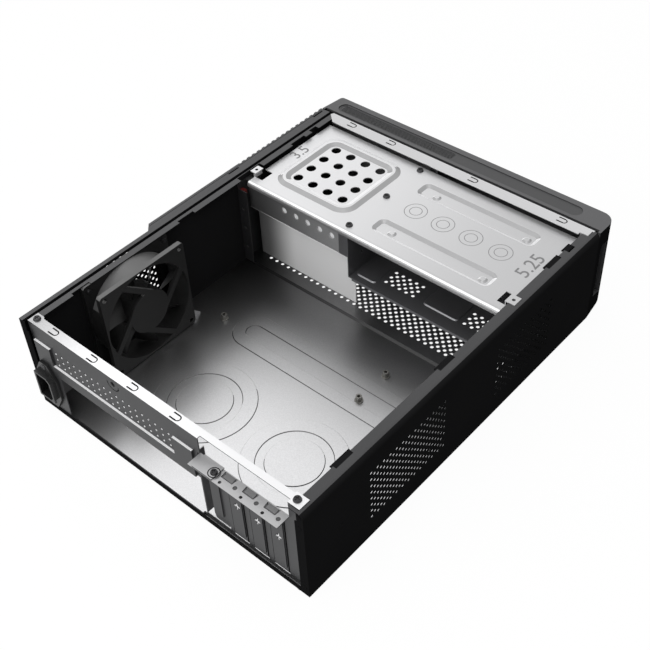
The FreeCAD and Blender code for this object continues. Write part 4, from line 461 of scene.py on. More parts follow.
def ring(centre, radius, width, height, sides=40):
    """Flat ring in the plane of the floor, in metres."""
    object_mode()
    bpy.ops.mesh.primitive_torus_add(location=centre, major_radius=radius,
                                     minor_radius=width / 2, major_segments=sides,
                                     minor_segments=6)
    made = bpy.context.object
    made.scale = (1, 1, height / width)
    return settle(made, "ring")


def trimmed(piece, point, outward):
    """Cuts a piece along a plane and takes off the side that the normal points to."""
    edit_all(piece)
    bpy.ops.mesh.bisect(plane_co=point, plane_no=outward, use_fill=True, clear_outer=True)
    bpy.ops.object.mode_set(mode="OBJECT")
    return piece


def join(pieces, name):
    """One object from several."""
    object_mode()
    for piece in pieces:
        piece.select_set(True)
    bpy.context.view_layer.objects.active = pieces[0]
    if len(pieces) > 1:
        bpy.ops.object.join()
    whole = bpy.context.view_layer.objects.active
    whole.name = name
    return whole


def adjust(data, **settings):
    """Gives an object's data or a modifier its settings."""
    for name, value in settings.items():
        setattr(data, name, value)
    return data


def apply(piece, kind, **settings):
    """Adds a modifier with its settings and applies it."""
    pick(piece)
    bpy.ops.object.modifier_add(type=kind)
    modifier = adjust(piece.modifiers[-1], **settings)
    bpy.ops.object.modifier_apply(modifier=modifier.name)
    return piece


def repeat(piece, step, count):
    """Row of copies of a piece, each a step on from the last."""
    if count > 1:
        apply(piece, "ARRAY", use_relative_offset=False, use_constant_offset=True,
              constant_offset_displace=step, count=count)
    return piece


def cut(piece, cutter):
    """Takes a cutter out of a piece."""
    apply(piece, "BOOLEAN", operation="DIFFERENCE", solver="MANIFOLD", object=cutter)
    bpy.data.objects.remove(cutter)
    return piece


def soften(piece, width, segments=1, angle=40.0):
    """Small bevel along the sharp edges, and smooth shading between."""
    apply(piece, "BEVEL", width=width, segments=segments, limit_method="ANGLE",
          angle_limit=math.radians(angle), use_clamp_overlap=True)
    return smooth(piece)


def smooth(piece, angle=35.0):
    """Smooth shading where faces meet at less than an angle, with the flat faces kept flat."""
    pick(piece)
    bpy.ops.object.shade_smooth_by_angle(angle=math.radians(angle))
    return apply(piece, "WEIGHTED_NORMAL", keep_sharp=True, weight=80)


def flat(piece):
    """Flat shading all over."""
    pick(piece)
    bpy.ops.object.shade_flat()
    return piece


def copy_of(node, name, whole=True):
    """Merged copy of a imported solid, with its flat faces made whole for a bevel."""
    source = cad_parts[node]
    piece = bpy.data.objects.new(name, source.data.copy())
    bpy.context.scene.collection.objects.link(piece)
    edit_all(piece)
    bpy.ops.mesh.remove_doubles(threshold=SAME_POINT)
    if whole:
        bpy.ops.mesh.dissolve_limited(angle_limit=math.radians(SAME_PLANE))
    bpy.ops.object.mode_set(mode="OBJECT")
    bpy.ops.mesh.customdata_custom_splitnormals_clear()
    return piece


def paint(piece, *names):
    """Materials of a piece, the first one everywhere."""
    piece.data.materials.clear()
    for name in names:
        piece.data.materials.append(PAINTS[name])
    for face in piece.data.polygons:
        face.material_index = 0
    return piece


def paint_faces(piece, index, test):
    """Gives a material to the faces that pass a test on their middle and normal."""
    for face in piece.data.polygons:
        if test(datum(face.center), face.normal):
            face.material_index = index
    return piece


def upward(rise, low=-math.inf, high=math.inf):
    """Test for faces that look up by more than a rise, between two heights."""
    return lambda place, normal: normal.z > rise and low < place[2] < high


def relief(piece):
    """Painted shade on pressed slopes that face the camera side, and a painted highlight on those
    that face away.
    """
    paint_faces(piece, 1, lambda place, normal: UPRIGHT < normal.z < LEVEL
                and normal.dot(AWAY) < LEAN)
    return paint_faces(piece, 2, lambda place, normal: UPRIGHT < normal.z < LEVEL
                       and normal.dot(AWAY) >= LEAN)


def loose_parts(piece):
    """Separates a piece into its loose parts."""
    edit_all(piece)
    bpy.ops.mesh.separate(type="LOOSE")
    bpy.ops.object.mode_set(mode="OBJECT")
    return list(bpy.context.selected_objects)


def reach_of(piece):
    """Lowest and highest corner of a piece."""
    points = [vertex.co for vertex in piece.data.vertices]
    return [[end(point[axis] for point in points) for axis in range(3)]
            for end in (min, max)]


def crossed(piece):
    """Cuts a cross recess in the top of every screw of a piece."""
    name = piece.name
    screws = loose_parts(piece)
    for screw in screws:
        low, high = reach_of(screw)
        x, y = (low[0] + high[0]) / 2, (low[1] + high[1]) / 2
        head = high[0] - low[0]
        reach, half = head * CROSS_REACH, head * CROSS_HALF
        for wide, tall in ((reach, half), (half, reach)):
            cut(screw, box((x - wide, y - tall, high[2] - CROSS_DEPTH),
                           (x + wide, y + tall, high[2] + MM)))
    return join(screws, name)


def dressed(piece, slot, *nodes, body="chassis"):
    """Hands a finished piece over to the frame, with the nodes that it stands for."""
    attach(piece, body)
    if nodes:
        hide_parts(*nodes)
    return piece


def plain(piece, node, tone, slot, width, segments=2, body="chassis"):
    """Paints, softens and hands over a piece that keeps its solid's form."""
    paint(piece, tone)
    soften(piece, width, segments)
    return dressed(piece, slot, node, body=body)


def staggered(first, across, down, columns, rows, axis, radius, sides, depth=PEG_LENGTH):
    """Pegs for holes in rows of which every second one is shifted by half a step."""
    groups = []
    for shift in (0, 1):
        centre = first + shift * (across / 2 + down / 2)
        one = peg(centre, axis, radius, depth, sides)
        row = repeat(one, across, columns - shift)
        groups.append(repeat(row, down, (rows + 1 - shift) // 2))
    return join(groups, "holes")


def vented(piece, low, high, pegs):
    """Replaces a window of a sheet by a sheet full of holes, cut right through the sheet."""
    window = box(low, high, "window")
    grow = [SHEET / 2 * MM if b - a < 1.5 * SHEET * MM else 0.0 for a, b in zip(low, high)]
    cutter = box([a - g for a, g in zip(low, grow)], [b + g for b, g in zip(high, grow)])
    cut(piece, cutter)
    cut(window, pegs)
    return join([piece, window], piece.name)


# Shell

# Rear and front field of round holes in the vented wall: first hole's y and number of columns
WALL_FIELDS = ((70.6, 13), (226.5, 11))
WALL_ROWS, WALL_FIRST_ROW = 15, 21.5
WALL_WINDOW = (19.0, 74.4)
WINDOW_MARGIN = 2.4

# Field of holes behind the fan: step, radius, rows on each side of the middle, half window
FAN_PITCH, FAN_REACH, FAN_LINES = 7.2, 42.0, 11
FAN_WINDOW_WIDE, FAN_WINDOW_TALL = 46.5, 44.5

# Upward rims, drawn lighter as a painted highlight: least rise of a face's normal, depth under the
# top, greatest x at the fan side
RIM_RISE, RIM_DEPTH, FAN_SIDE_RIM = 0.7, 0.5, 20.0

# Groove along the top of the ribbed guard: x, y and z from and to
GUARD_GROOVE = (-4.4, -4.0, 140.0, 366.0, 95.3, 96.5)

# Notches in the vented wall's flange, y from and to, and the bottom of a notch in x
NOTCHES = ((44.5, 62.5), (161.5, 179.5), (305.5, 323.5), (332.5, 341.5))
NOTCH_BACK, NOTCH_HEIGHT = (285.6, 290.6), (93.9, 94.75)


def wall_field(piece, start, columns):
    """Field of round holes in the vented wall."""
    size = sizes()
    pitch = size.vent_pitch
    outside = datum(SHELL_LOW)[0]
    end = start + (columns - 1) * pitch / MM
    low, high = corners(outside - SHEET, outside, start - WINDOW_MARGIN, end + WINDOW_MARGIN,
                        *WALL_WINDOW)
    pegs = staggered(at(outside - SHEET / 2, start, WALL_FIRST_ROW), Vector((0, -pitch, 0)),
                     Vector((0, 0, pitch)), columns, WALL_ROWS, "X", size.vent_hole / 2,
                     size.round_sides)
    return vented(piece, low, high, pegs)


def fan_field(piece):
    """Round field of holes in the skin behind the fan."""
    size = sizes()
    low_fan, high_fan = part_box("fan_frame")
    _, y, z = datum([(a + b) / 2 for a, b in zip(low_fan, high_fan)])
    rows = []
    for line in range(-FAN_LINES, FAN_LINES + 1):
        drop = line * FAN_PITCH / 2
        half_row = math.sqrt(max(0.0, FAN_REACH ** 2 - drop ** 2))
        shift = FAN_PITCH / 2 if line % 2 else 0.0
        count = int((half_row - shift) / FAN_PITCH)
        total = 2 * count + (2 if shift else 1)
        one = peg(at(SHEET / 2, y - count * FAN_PITCH - shift, z + drop), "X",
                  size.vent_hole / 2, PEG_LENGTH, size.round_sides)
        rows.append(repeat(one, Vector((0, -FAN_PITCH * MM, 0)), total))
    low, high = corners(0.0, SHEET, y - FAN_WINDOW_WIDE, y + FAN_WINDOW_WIDE,
                        z - FAN_WINDOW_TALL, z + FAN_WINDOW_TALL)
    return vented(piece, low, high, join(rows, "holes"))


def notch_backs():
    """Dark folded edge that shows in the notches of the vented wall's flange."""
    strip = join([between(*NOTCH_BACK, start - 1.0, end + 1.0, *NOTCH_HEIGHT)
                  for start, end in NOTCHES], "notch_backs")
    paint(strip, "shell")
    return dressed(strip, "shell_black")


def rimmed(node, name, low=-math.inf):
    """Black copy of a solid, with a painted highlight on its upward faces over a height."""
    piece = paint(copy_of(node, name), "shell", "rim light")
    return paint_faces(piece, 1, upward(RIM_RISE, low))


def build_shell():
    """Outer shell with its three vented fields, inner wall and ribbed guard."""
    shell = copy_of("base_shell", "outer_shell", False)
    for start, columns in WALL_FIELDS:
        wall_field(shell, start, columns)
    fan_field(shell)
    paint(shell, "shell", "rim", "rim light")
    # The shell's upward rims get a painted highlight, brighter on the fan side
    rim = SHELL_HIGH[2] / MM - RIM_DEPTH
    paint_faces(shell, 1, upward(RIM_RISE, rim))
    paint_faces(shell, 2, lambda place, normal: upward(RIM_RISE, rim)(place, normal)
                and place[0] < FAN_SIDE_RIM)
    smooth(shell, 25.0)
    dressed(shell, "shell_black", "base_shell")
    notch_backs()

    inner = rimmed("fan_side_frame", "inner_wall", rim)
    guard = cut(rimmed("side_guard", "ribbed_guard"), between(*GUARD_GROOVE))
    for piece, node in ((inner, "fan_side_frame"), (guard, "side_guard")):
        soften(piece, sizes().edge)
        dressed(piece, "shell_black", node)


# Floor

# Vented strip: its window, its first hole, columns and rows
STRIP_WINDOW = (24.6, 286.0, 248.4, 276.6, 2.2, 3.0)
STRIP_FIRST, STRIP_COLUMNS, STRIP_ROWS = (27.0, 251.5, 2.6), 36, 7

# Lug on the floor: the sheet it is cut from, and a point and the slope of its cut edge
LUG = (26.5, 27.3, 147.0, 157.0, 1.5, 9.5)
LUG_CUT, LUG_SLOPE = (27.0, 157.0, 2.5), (0, -7.0, 10.0)

COLLAR_RADIUS, COLLAR_HEIGHT, COLLAR_SIDES = 3.8 * MM, 1.2 * MM, 24


def floor_lug():
    """Small three-cornered lug that stands up from the floor in front of the fan."""
    lug = trimmed(between(*LUG, "floor_lug"), at(*LUG_CUT), LUG_SLOPE)
    paint(lug, "bright")
    return dressed(lug, "zinc_floor")


def post_collars():
    """Collar round the foot of every board post."""
    collars = []
    for post in loose_parts(copy_of("board_standoffs", "post")):
        low, high = reach_of(post)
        foot = ((low[0] + high[0]) / 2, (low[1] + high[1]) / 2, low[2] + COLLAR_HEIGHT / 2)
        collars.append(peg(foot, "Z", COLLAR_RADIUS, COLLAR_HEIGHT, COLLAR_SIDES))
        bpy.data.objects.remove(post)
    collar = join(collars, "post_collars")
    paint(collar, "post")
    soften(collar, sizes().blade_edge, 2)
    return dressed(collar, "post_steel")


def build_floor():
    """Floor sheet with its vented strip and lug, and the board posts with their collars."""
    size = sizes()
    floor = copy_of("floor_pan", "floor_sheet", False)
    pegs = staggered(at(*STRIP_FIRST), Vector((-size.strip_pitch, 0, 0)),
                     Vector((0, -size.strip_pitch, 0)), STRIP_COLUMNS, STRIP_ROWS, "Z",
                     size.strip_hole / 2, size.round_sides)
    vented(floor, *corners(*STRIP_WINDOW), pegs)
    paint(floor, "floor", "floor shade", "floor light")
    relief(floor)
    flat(floor)
    dressed(floor, "zinc_floor", "floor_pan")
    floor_lug()
    plain(copy_of("board_standoffs", "board_posts"), "board_standoffs", "post", "post_steel",
          size.turned_edge)
    post_collars()


# Rear panel

# Vents of the pressed zone: window, first hole, columns and rows
PANEL_WINDOW = (33.0, 168.5, 2.7, 3.5, 61.4, 79.3)
PANEL_FIRST, PANEL_COLUMNS, PANEL_ROWS = (36.4, 3.1, 64.0), 19, 3

# Pressed tongues: x along the rear and the front flange, y of each row, slit's heights
REAR_TONGUES, REAR_TONGUES_Y = [35.5 + 45.8 * index for index in range(4)], 7.1
FRONT_TONGUES, FRONT_TONGUES_Y = (36.5, 83.5, 175.5, 266.5), 363.25
SLIT_LOW, SLIT_HIGH, SLIT_PLAY = 95.5, 96.44, 0.1

# Slot blanks: x of the open slot, pitch, half width, half gap, y and z from and to
OPEN_SLOT, SLOT_PITCH, BLANK_HALF, SEAM_HALF = 211.0, 20.32, 7.1, 0.32
SEAM_SPAN = (2.45, 3.3, 8.0, 78.8)

# Pressed arc round the first slot's screw: middle, then radius, width and height in metres
SCREW_ARC, SCREW_ARC_SIZES = (219.3, -3.4, 80.85), (4.4 * MM, 0.8 * MM, 0.4 * MM)

# Heights of the top flange, the screw shelf and the pressed edges under it, where upward faces get
# painted highlights and the shelf's sloped tongues painted shade
FLANGE_LOW, SHELF_LOW, SHELF_HIGH, TONGUE_LOW, LEDGE_LOW = 90, 79, 82, 76, 5


def panel_field(panel):
    """Rows of small round vents in the pressed zone's recess."""
    size = sizes()
    one = peg(at(*PANEL_FIRST), "Y", size.panel_hole / 2, PEG_LENGTH, size.round_sides)
    row = repeat(one, Vector((-size.panel_pitch, 0, 0)), PANEL_COLUMNS)
    pegs = repeat(row, Vector((0, 0, size.panel_row)), PANEL_ROWS)
    return vented(panel, *corners(*PANEL_WINDOW), pegs)


def slit(x, y):
    """Dark U-shaped piece in the slit of a pressed tongue in a flange, open towards the fan side:
    painted shade under the bent tongue.
    """
    size = sizes()
    line = size.lance_slit / MM
    reach = size.lance_length / MM / 2 + SLIT_PLAY
    half = size.lance_width / MM / 2 + SLIT_PLAY
    bend = x + reach - half
    legs = [between(x - reach, bend, side - line / 2, side + line / 2, SLIT_LOW, SLIT_HIGH)
            for side in (y - half + line / 2, y + half - line / 2)]
    bow = ring(at(bend, y, (SLIT_LOW + SLIT_HIGH) / 2), (half - line / 2) * MM, line * MM,
               (SLIT_HIGH - SLIT_LOW) * MM, 24)
    return join([trimmed(bow, at(bend, y), (1, 0, 0))] + legs, "slit")


def shade_marks(pieces, name):
    """Thin dark marks of the rear panel and the flanges, as one piece, mostly painted shade in
    slits and gaps.
    """
    marks = join(pieces, name)
    paint(marks, "shell")
    flat(marks)
    return dressed(marks, "panel_zinc")


def flange_slits():
    """Painted shade in the slits round the pressed tongues of the rear and front flanges."""
    rear = [slit(x, REAR_TONGUES_Y) for x in REAR_TONGUES]
    front = [slit(x, FRONT_TONGUES_Y) for x in FRONT_TONGUES]
    return shade_marks(rear + front, "tongue_slit_shade")


def slot_seams():
    """Painted shade in the gaps along the slot blanks, and the dark pressed arc round the first
    slot's screw.
    """
    seams = []
    for index in range(1, 4):
        for side in (-BLANK_HALF, BLANK_HALF):
            x = OPEN_SLOT + index * SLOT_PITCH + side
            seams.append(between(x - SEAM_HALF, x + SEAM_HALF, *SEAM_SPAN))
    seams.append(ring(at(*SCREW_ARC), *SCREW_ARC_SIZES))
    return shade_marks(seams, "slot_seams")


def build_panel():
    """Rear panel with its vents, slits and seams, and the loose slot cover."""
    panel = copy_of("rear_panel", "back_panel", False)
    panel_field(panel)
    paint(panel, "panel", "bright", "shelf", "tongue", "ledge")
    # Painted highlights on the upward flange, shelf and pressed edges, painted shade on the sloped
    # tongues
    paint_faces(panel, 1, upward(0.3, FLANGE_LOW))
    paint_faces(panel, 2, upward(0.3, SHELF_LOW, SHELF_HIGH))
    paint_faces(panel, 3, lambda place, normal: normal.z < 0.998
                and upward(0.3, TONGUE_LOW, SHELF_HIGH)(place, normal))
    paint_faces(panel, 4, upward(0.6, LEDGE_LOW, SHELF_LOW))
    flat(panel)
    dressed(panel, "panel_zinc", "rear_panel")
    flange_slits()
    slot_seams()

    cover = copy_of("slot_cover", "loose_slot_cover")
    paint(cover, "panel", "shelf")
    # Painted highlight on the cover's upward faces
    paint_faces(cover, 1, upward(0.6))
    soften(cover, sizes().edge)
    dressed(cover, "panel_zinc", "slot_cover")


def build_inlet():
    """Power inlet in the corner of the rear panel."""
    plain(copy_of("power_inlet", "mains_inlet"), "power_inlet", "hollow", "inlet_plastic",
          sizes().moulded_edge)


# Fan

# Height over the fan's middle from which its upward faces get a painted highlight
HIGHLIGHT_FROM = 20.0


def build_fan():
    """Fan housing and rotor."""
    housing = copy_of("fan_frame", "fan_housing")
    paint(housing, "fan", "lit fan top")
    soften(housing, sizes().moulded_edge, 2)
    middle = sum(corner[2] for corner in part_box("fan_frame")) / 2
    paint_faces(housing, 1, upward(0.45, middle / MM + HIGHLIGHT_FROM))
    dressed(housing, "fan_plastic", "fan_frame")
    plain(copy_of("fan_rotor", "fan_wheel"), "fan_rotor", "rotor", "fan_plastic",
          sizes().blade_edge, body="rotor")


# Drive bays

# Stamped rings of the drive plate: x of each place, y, z, and both radii and the height
RING_PLACES, RING_Y, RING_Z = (158.5, 187.5, 216.5, 246.5), 303.0, 91.0
RING_RADII, RING_HEIGHT = (10.0 * MM, 5.5 * MM), 0.25 * MM

# Generic bay numbers of the drive plate: digits, place, height and name of the piece
NUMBERS = (
    ("3.5", (21.5, 306.0, 91.05), 16.0 * MM, "bay_number_small"),
    ("5.25", (275.0, 304.0, 91.05), 18.0 * MM, "bay_number_wide"),
)
NUMBER_THICKNESS = 0.06 * MM

# Depth of the drive plate's rolled lip, which gets a painted highlight on top and painted shade
# below
LIP = 4.0

# Vented fields of the tray: x of the first hole and columns, then rows and the two heights
TRAY_FIELDS, TRAY_ROWS, TRAY_SHEET = ((161.0, 5), (244.5, 4)), 5, (41.2, 42.0)
TRAY_FIRST_Y, TRAY_WINDOW_Y, TRAY_MARGIN = 259.0, (256.4, 277.2), 2.6

# Node, piece, finish and slot of the bays' bent sheets
BAY_SHEETS = (
    ("drive_rail_rear", "rear_rail", "rail", "bay_zinc"),
    ("drive_rail_front", "front_rail", "rail", "bay_zinc"),
    ("bay_partition", "upright_partition", "wall", "zinc_floor"),
    ("corner_column", "corner_angle", "dark", "column_dark"),
    ("front_frame", "steel_front", "flange", "bay_zinc"),
)


def plate_marks():
    """Four places with two rings each, stamped in the drive plate, drawn dark as painted shade
    along their pressed edges.
    """
    rings = [ring(at(x, RING_Y, RING_Z), radius, sizes().stamp, RING_HEIGHT)
             for x in RING_PLACES for radius in RING_RADII]
    marks = join(rings, "stamped_rings")
    paint(marks, "stamp")
    smooth(marks, 60.0)
    return dressed(marks, "bay_zinc")


def stamped_number(digits, centre, height, name):
    """Number drawn in thin raised lines, read from the fan side."""
    object_mode()
    bpy.ops.object.text_add(location=at(*centre), rotation=(0, 0, -math.pi / 2))
    adjust(bpy.context.object.data, body=digits, size=height, align_x="CENTER",
           align_y="CENTER", extrude=NUMBER_THICKNESS, resolution_u=3)
    bpy.ops.object.convert(target="MESH")
    made = settle(bpy.context.object, name)
    paint(made, "stamp")
    return dressed(made, "bay_zinc")


def build_plate():
    """Drive plate with its stamped rings and bay numbers."""
    plate = copy_of("drive_plate", "pressed_drive_plate")
    paint(plate, "plate", "plate shade", "plate light")
    soften(plate, sizes().plate_edge, 3, 15.0)
    relief(plate)
    # Painted highlight on top of the rolled lip, painted shade below it
    edge = datum(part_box("drive_plate")[1])[1] + LIP
    paint_faces(plate, 2, lambda place, normal: place[1] < edge and normal.z > 0.75)
    paint_faces(plate, 1, lambda place, normal: place[1] < edge and normal.z <= 0.75)
    dressed(plate, "bay_zinc", "drive_plate")
    plate_marks()
    for digits, centre, height, name in NUMBERS:
        stamped_number(digits, centre, height, name)


def build_tray():
    """Tray of the wide bay with its two vented fields."""
    size = sizes()
    tray = copy_of("optical_tray", "drive_tray", False)
    pitch = size.strip_pitch
    for start, columns in TRAY_FIELDS:
        end = start + (columns - 1) * pitch / MM
        pegs = staggered(at(start, TRAY_FIRST_Y, sum(TRAY_SHEET) / 2), Vector((-pitch, 0, 0)),
                         Vector((0, -pitch, 0)), columns, TRAY_ROWS, "Z",
                         size.strip_hole / 2, size.round_sides)
        vented(tray, *corners(start - TRAY_MARGIN, end + TRAY_MARGIN, *TRAY_WINDOW_Y,
                              *TRAY_SHEET), pegs)
    paint(tray, "tray")
    flat(tray)
    return dressed(tray, "tray_zinc", "optical_tray")


def rail_hole_light():
    """Pale sheet behind the rear rail, painted light that shows through the rail's holes."""
    low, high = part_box("drive_rail_rear")
    web = high[1] - SHEET * MM
    sheet = box((low[0] + MM, web - 1.4 * MM, low[2] + SHEET * MM),
                (high[0] - MM, web - 0.6 * MM, high[2] - MM), "rail_hole_light")
    paint(sheet, "backing")
    return dressed(sheet, "bay_zinc")


def build_bays():
    """Tray, rails, partition, corner column, steel front and clip."""
    build_tray()
    for node, name, tone, slot in BAY_SHEETS:
        plain(copy_of(node, name), node, tone, slot, sizes().edge, 1)
    rail_hole_light()
    plain(copy_of("cable_clip", "red_clip"), "cable_clip", "clip", "clip_red",
          sizes().moulded_edge)


# Front

# Grille: first hole's distance from the corner in x and y, and the room left at the far end
GRILLE_START, GRILLE_END = (3.0 * MM, 1.6 * MM), (4.0 * MM, 2.0 * MM)

# Sides and length of the pegs that cut the grille
GRILLE_PEG = (6, 4.0 * MM)

# Depth of the recess in the top of the front under its highest faces
TOP_RECESS = 0.3

# Node, piece, finish, slot and body of the small pieces of the front
FRONT_PIECES = (
    ("bay_cover", "wide_bay_cover", "bezel half shade", "bezel_plastic", "chassis"),
    ("power_button", "power_key_cap", "bezel", "bezel_plastic", "power_key"),
    ("reset_button", "reset_key_cap", "bezel", "bezel_plastic", "reset_key"),
    ("port_block", "front_ports", "hollow", "inlet_plastic", "chassis"),
    ("switch_board", "key_board", "board", "board", "chassis"),
    ("led_lenses", "light_pipes", "lens", "lens", "chassis"),
)


def grille():
    """Fine grille in the top of the front."""
    size = sizes()
    pitch = size.grille_pitch
    low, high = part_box("bezel_mesh")
    sheet = box((low[0], low[1], high[2] - SHEET * MM), high, "fine_grille")
    first = Vector((low[0] + GRILLE_START[0], low[1] + GRILLE_START[1], high[2]))
    columns = int((high[0] - low[0] - GRILLE_END[0]) / pitch)
    rows = int((high[1] - low[1] - GRILLE_END[1]) / (pitch / 2))
    pegs = staggered(first, Vector((pitch, 0, 0)), Vector((0, pitch, 0)), columns, rows, "Z",
                     size.grille_hole / 2, *GRILLE_PEG)
    cut(sheet, pegs)
    # The grille is drawn in the front's painted half shade
    paint(sheet, "bezel half shade")
    return dressed(sheet, "mesh_dark", "bezel_mesh")


def build_front():
    """Moulded front, its grille, bay cover, buttons, lenses and ports."""
    size = sizes()
    front = copy_of("front_bezel", "moulded_front")
    paint(front, "bezel half shade", "bezel deep shade", "bezel")
    soften(front, size.moulded_edge, 2)
    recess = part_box("front_bezel")[1][2] / MM - TOP_RECESS
    # Deep painted shade on faces turned to the vented side, a painted highlight on the top's
    # upward faces, painted half shade on the rest and on the recessed top
    paint_faces(front, 1, lambda place, normal: normal.x < -0.3)
    paint_faces(front, 2, upward(0.35, FLANGE_LOW))
    paint_faces(front, 0, upward(0.9, FLANGE_LOW, recess))
    dressed(front, "bezel_plastic", "front_bezel")
    grille()
    for node, name, tone, slot, body in FRONT_PIECES:
        plain(copy_of(node, name), node, tone, slot, size.edge * 2, body=body)


# Fasteners

# Node, piece, finish, and whether a cross recess is cut in the heads
FASTENERS = (
    ("plate_screws", "plate_bolts", "screw", True),
    ("panel_screws", "panel_bolts", "screw", True),
    ("slot_screw", "slot_bolt", "screw", True),
    ("fan_screws", "fan_bolts", "screw", False),
    ("inlet_screws", "inlet_bolts", "screw", False),
    ("shell_rivets", "rivet_heads", "shell", False),
)


def build_fasteners():
    """Screws and rivets, with a cross recess in the screws that are driven from above."""
    for node, name, tone, driven in FASTENERS:
        piece = copy_of(node, name)
        plain(crossed(piece) if driven else piece, node, tone, "screw_steel", sizes().edge * 2)


# Stage

GROUND_SIZE, GROUND_DROP = 8.0, 0.2 * MM

# Light that the ground gives off where the camera sees it, and its share there
GROUND_GLOW, GROUND_SHARE = 1.12, 0.85

# Light of the surroundings on the case: from below, and straight from above
SKY_LOW, SKY_HIGH = 0.07, 1.02

# Name, place, target, side in metres and power in watts of each lamp
LAMPS = (
    ("key_lamp", (-0.2, 0.4, 1.8), (0.0, 0.0, 0.0), 1.0, 6.0),
    ("side_lamp", (1.2, -0.2, 1.1), (0.0, -0.1, 0.0), 0.6, 1.6),
    ("fill_lamp", (0.15, 1.35, 0.75), (0.0, 0.0, 0.0), 1.2, 8.0),
)

# Camera of the photograph: yaw, pitch and roll in degrees, place, and lens on its sensor
CAMERA_TURNS = (-46.515126, -44.080612, -3.342914)
CAMERA_PLACE = (-0.466183, 0.490934, 0.686279)
CAMERA_LENS, CAMERA_SENSOR, CAMERA_END = 61.2928, 36.0, 20.0


def build_stage():
    """Pale ground, white surroundings, soft lamps and the camera."""
    scene = bpy.context.scene
    scene.view_settings.view_transform = "Standard"
    lay_ground()
    light_world(scene)
    for name, place, target, size, power in LAMPS:
        lamp(name, place, target, size, power)
    place_camera(scene)


def lay_ground():
    """Ground that takes shadows, and looks almost white to the camera."""
    object_mode()
    bpy.ops.mesh.primitive_plane_add(size=GROUND_SIZE, location=(0, 0, -GROUND_DROP))
    ground = settle(bpy.context.object, "ground")
    surface = Paint("pale ground", finish().backdrop, 0.9)
    glow = surface.node("ShaderNodeEmission", {}, {"Strength": GROUND_GLOW})
    shown = surface.node("ShaderNodeMixShader", {}, {
        0: surface.seen() * GROUND_SHARE, 1: Wire(surface, surface.shader.outputs[0]), 2: glow})
    surface.feed(surface.tree.nodes["Material Output"].inputs[0], shown)
    ground.data.materials.clear()
    ground.data.materials.append(surface.material)


def light_world(scene):
    """Surroundings that look white, and light the case more from above."""
    world = scene.world or bpy.data.worlds.new("surroundings")
    scene.world = world
    world.use_nodes = True
    world.node_tree.nodes.clear()
    sky = Nodes(world.node_tree)
    white = (1.0, 1.0, 1.0, 1.0)
    below, above, shown = (sky.node("ShaderNodeBackground", {}, {
        "Color": white, "Strength": strength}) for strength in (SKY_LOW, SKY_HIGH, 1.0))
    look = sky.node("ShaderNodeTexCoord", output="Generated")
    height = sky.node("ShaderNodeSeparateXYZ", {}, {0: look}, output="Z")
    light = sky.node("ShaderNodeMixShader", {}, {
        0: sky.larger(height, 0.0), 1: below, 2: above})
    mixed = sky.node("ShaderNodeMixShader", {}, {0: sky.seen(), 1: light, 2: shown})
    sky.node("ShaderNodeOutputWorld", {}, {0: mixed}, output=None)


def lamp(name, place, target, size, power):
    """Soft square lamp that faces a point."""
    object_mode()
    bpy.ops.object.light_add(type="AREA", location=place)
    made = bpy.context.object
    made.name = name
    adjust(made.data, shape="SQUARE", size=size, energy=power)
    aim = Vector(target) - Vector(place)
    made.rotation_euler = aim.to_track_quat("-Z", "Y").to_euler()


def place_camera(scene):
    """Camera at the photograph's place, without shift or blur."""
    yaw, pitch, roll = (math.radians(angle) for angle in CAMERA_TURNS)
    ahead = Vector((math.cos(pitch) * math.cos(yaw), math.cos(pitch) * math.sin(yaw),
                    math.sin(pitch)))
    level = ahead.cross(Vector((0, 0, 1))).normalized()
    rise = level.cross(ahead)
    right = math.cos(roll) * level + math.sin(roll) * rise
    up = -math.sin(roll) * level + math.cos(roll) * rise
    turn = Matrix((right, up, -ahead)).transposed().to_4x4()
    turn.translation = Vector(CAMERA_PLACE)
    object_mode()
    bpy.ops.object.camera_add()
    camera = bpy.context.object
    camera.name = "view_camera"
    camera.matrix_world = turn
    adjust(camera.data, sensor_width=CAMERA_SENSOR, lens=CAMERA_LENS, clip_end=CAMERA_END)
    scene.camera = camera


# Operators

class CaseStep:
    """What every step shares. Each step names the function that builds it."""
    bl_options = {"REGISTER", "UNDO"}

    def execute(self, context):
        if not PAINTS:
            make_paints()
        self.build()
        object_mode()
        return {"FINISHED"}


class CASE_OT_shell(CaseStep, bpy.types.Operator):
    """Builds the outer shell, the inner wall and the ribbed guard"""
    bl_idname = "case.shell"
    bl_label = "Shell"
    build = staticmethod(build_shell)


class CASE_OT_floor(CaseStep, bpy.types.Operator):
    """Builds the floor sheet with its vented strip and lug, and the board posts"""
    bl_idname = "case.floor"
    bl_label = "Floor and posts"
    build = staticmethod(build_floor)


class CASE_OT_panel(CaseStep, bpy.types.Operator):
    """Builds the rear panel with its slits and seams, and the loose slot cover"""
    bl_idname = "case.panel"
    bl_label = "Rear panel"
    build = staticmethod(build_panel)


class CASE_OT_inlet(CaseStep, bpy.types.Operator):
    """Builds the power inlet"""
    bl_idname = "case.inlet"
    bl_label = "Power inlet"
    build = staticmethod(build_inlet)


class CASE_OT_fan(CaseStep, bpy.types.Operator):
    """Builds the fan housing and its rotor"""
    bl_idname = "case.fan"
    bl_label = "Fan"
    build = staticmethod(build_fan)


class CASE_OT_plate(CaseStep, bpy.types.Operator):
    """Builds the pressed drive plate with its stamps"""
    bl_idname = "case.plate"
    bl_label = "Drive plate"
    build = staticmethod(build_plate)


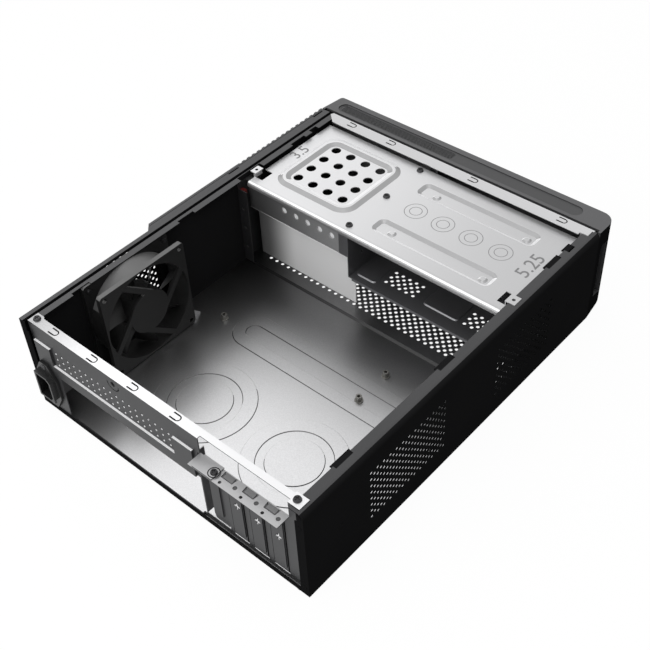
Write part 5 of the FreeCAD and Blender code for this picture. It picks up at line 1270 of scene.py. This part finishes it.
class CASE_OT_bays(CaseStep, bpy.types.Operator):
    """Builds the tray, rails, partition, corner column, steel front and clip"""
    bl_idname = "case.bays"
    bl_label = "Drive bays"
    build = staticmethod(build_bays)


class CASE_OT_front(CaseStep, bpy.types.Operator):
    """Builds the moulded front with its grille, cover, buttons and ports"""
    bl_idname = "case.front"
    bl_label = "Moulded front"
    build = staticmethod(build_front)


class CASE_OT_fasteners(CaseStep, bpy.types.Operator):
    """Builds the screws and rivets"""
    bl_idname = "case.fasteners"
    bl_label = "Fasteners"
    build = staticmethod(build_fasteners)


class CASE_OT_stage(CaseStep, bpy.types.Operator):
    """Builds the ground, surroundings, lamps and camera"""
    bl_idname = "case.stage"
    bl_label = "Stage"
    build = staticmethod(build_stage)


class CASE_PT_panel(bpy.types.Panel):
    """Lists the steps that build the case"""
    bl_idname = "CASE_PT_panel"
    bl_label = "Open slim case"
    bl_space_type = "VIEW_3D"
    bl_region_type = "UI"
    bl_category = "Case"

    def draw(self, context):
        for step in STEPS:
            self.layout.operator(step.bl_idname)
        for group in (context.scene.case_sizes, context.scene.case_finish):
            column = self.layout.column()
            for name in group.bl_rna.properties.keys():
                if name not in ("rna_type", "name"):
                    column.prop(group, name)


STEPS = (
    CASE_OT_shell,
    CASE_OT_floor,
    CASE_OT_panel,
    CASE_OT_inlet,
    CASE_OT_fan,
    CASE_OT_plate,
    CASE_OT_bays,
    CASE_OT_front,
    CASE_OT_fasteners,
    CASE_OT_stage,
)
CLASSES = (CaseSizes, CaseFinish, *STEPS, CASE_PT_panel)


def register():
    """Adds the classes and the settings."""
    for kind in CLASSES:
        bpy.utils.register_class(kind)
    bpy.types.Scene.case_sizes = PointerProperty(type=CaseSizes)
    bpy.types.Scene.case_finish = PointerProperty(type=CaseFinish)


def unregister():
    """Takes the settings and classes away."""
    del bpy.types.Scene.case_finish
    del bpy.types.Scene.case_sizes
    for kind in reversed(CLASSES):
        bpy.utils.unregister_class(kind)


def main():
    """Builds the case."""
    register()
    for step in STEPS:
        getattr(bpy.ops.case, step.bl_idname.removeprefix("case."))()


if __name__ == "__main__":
    main()
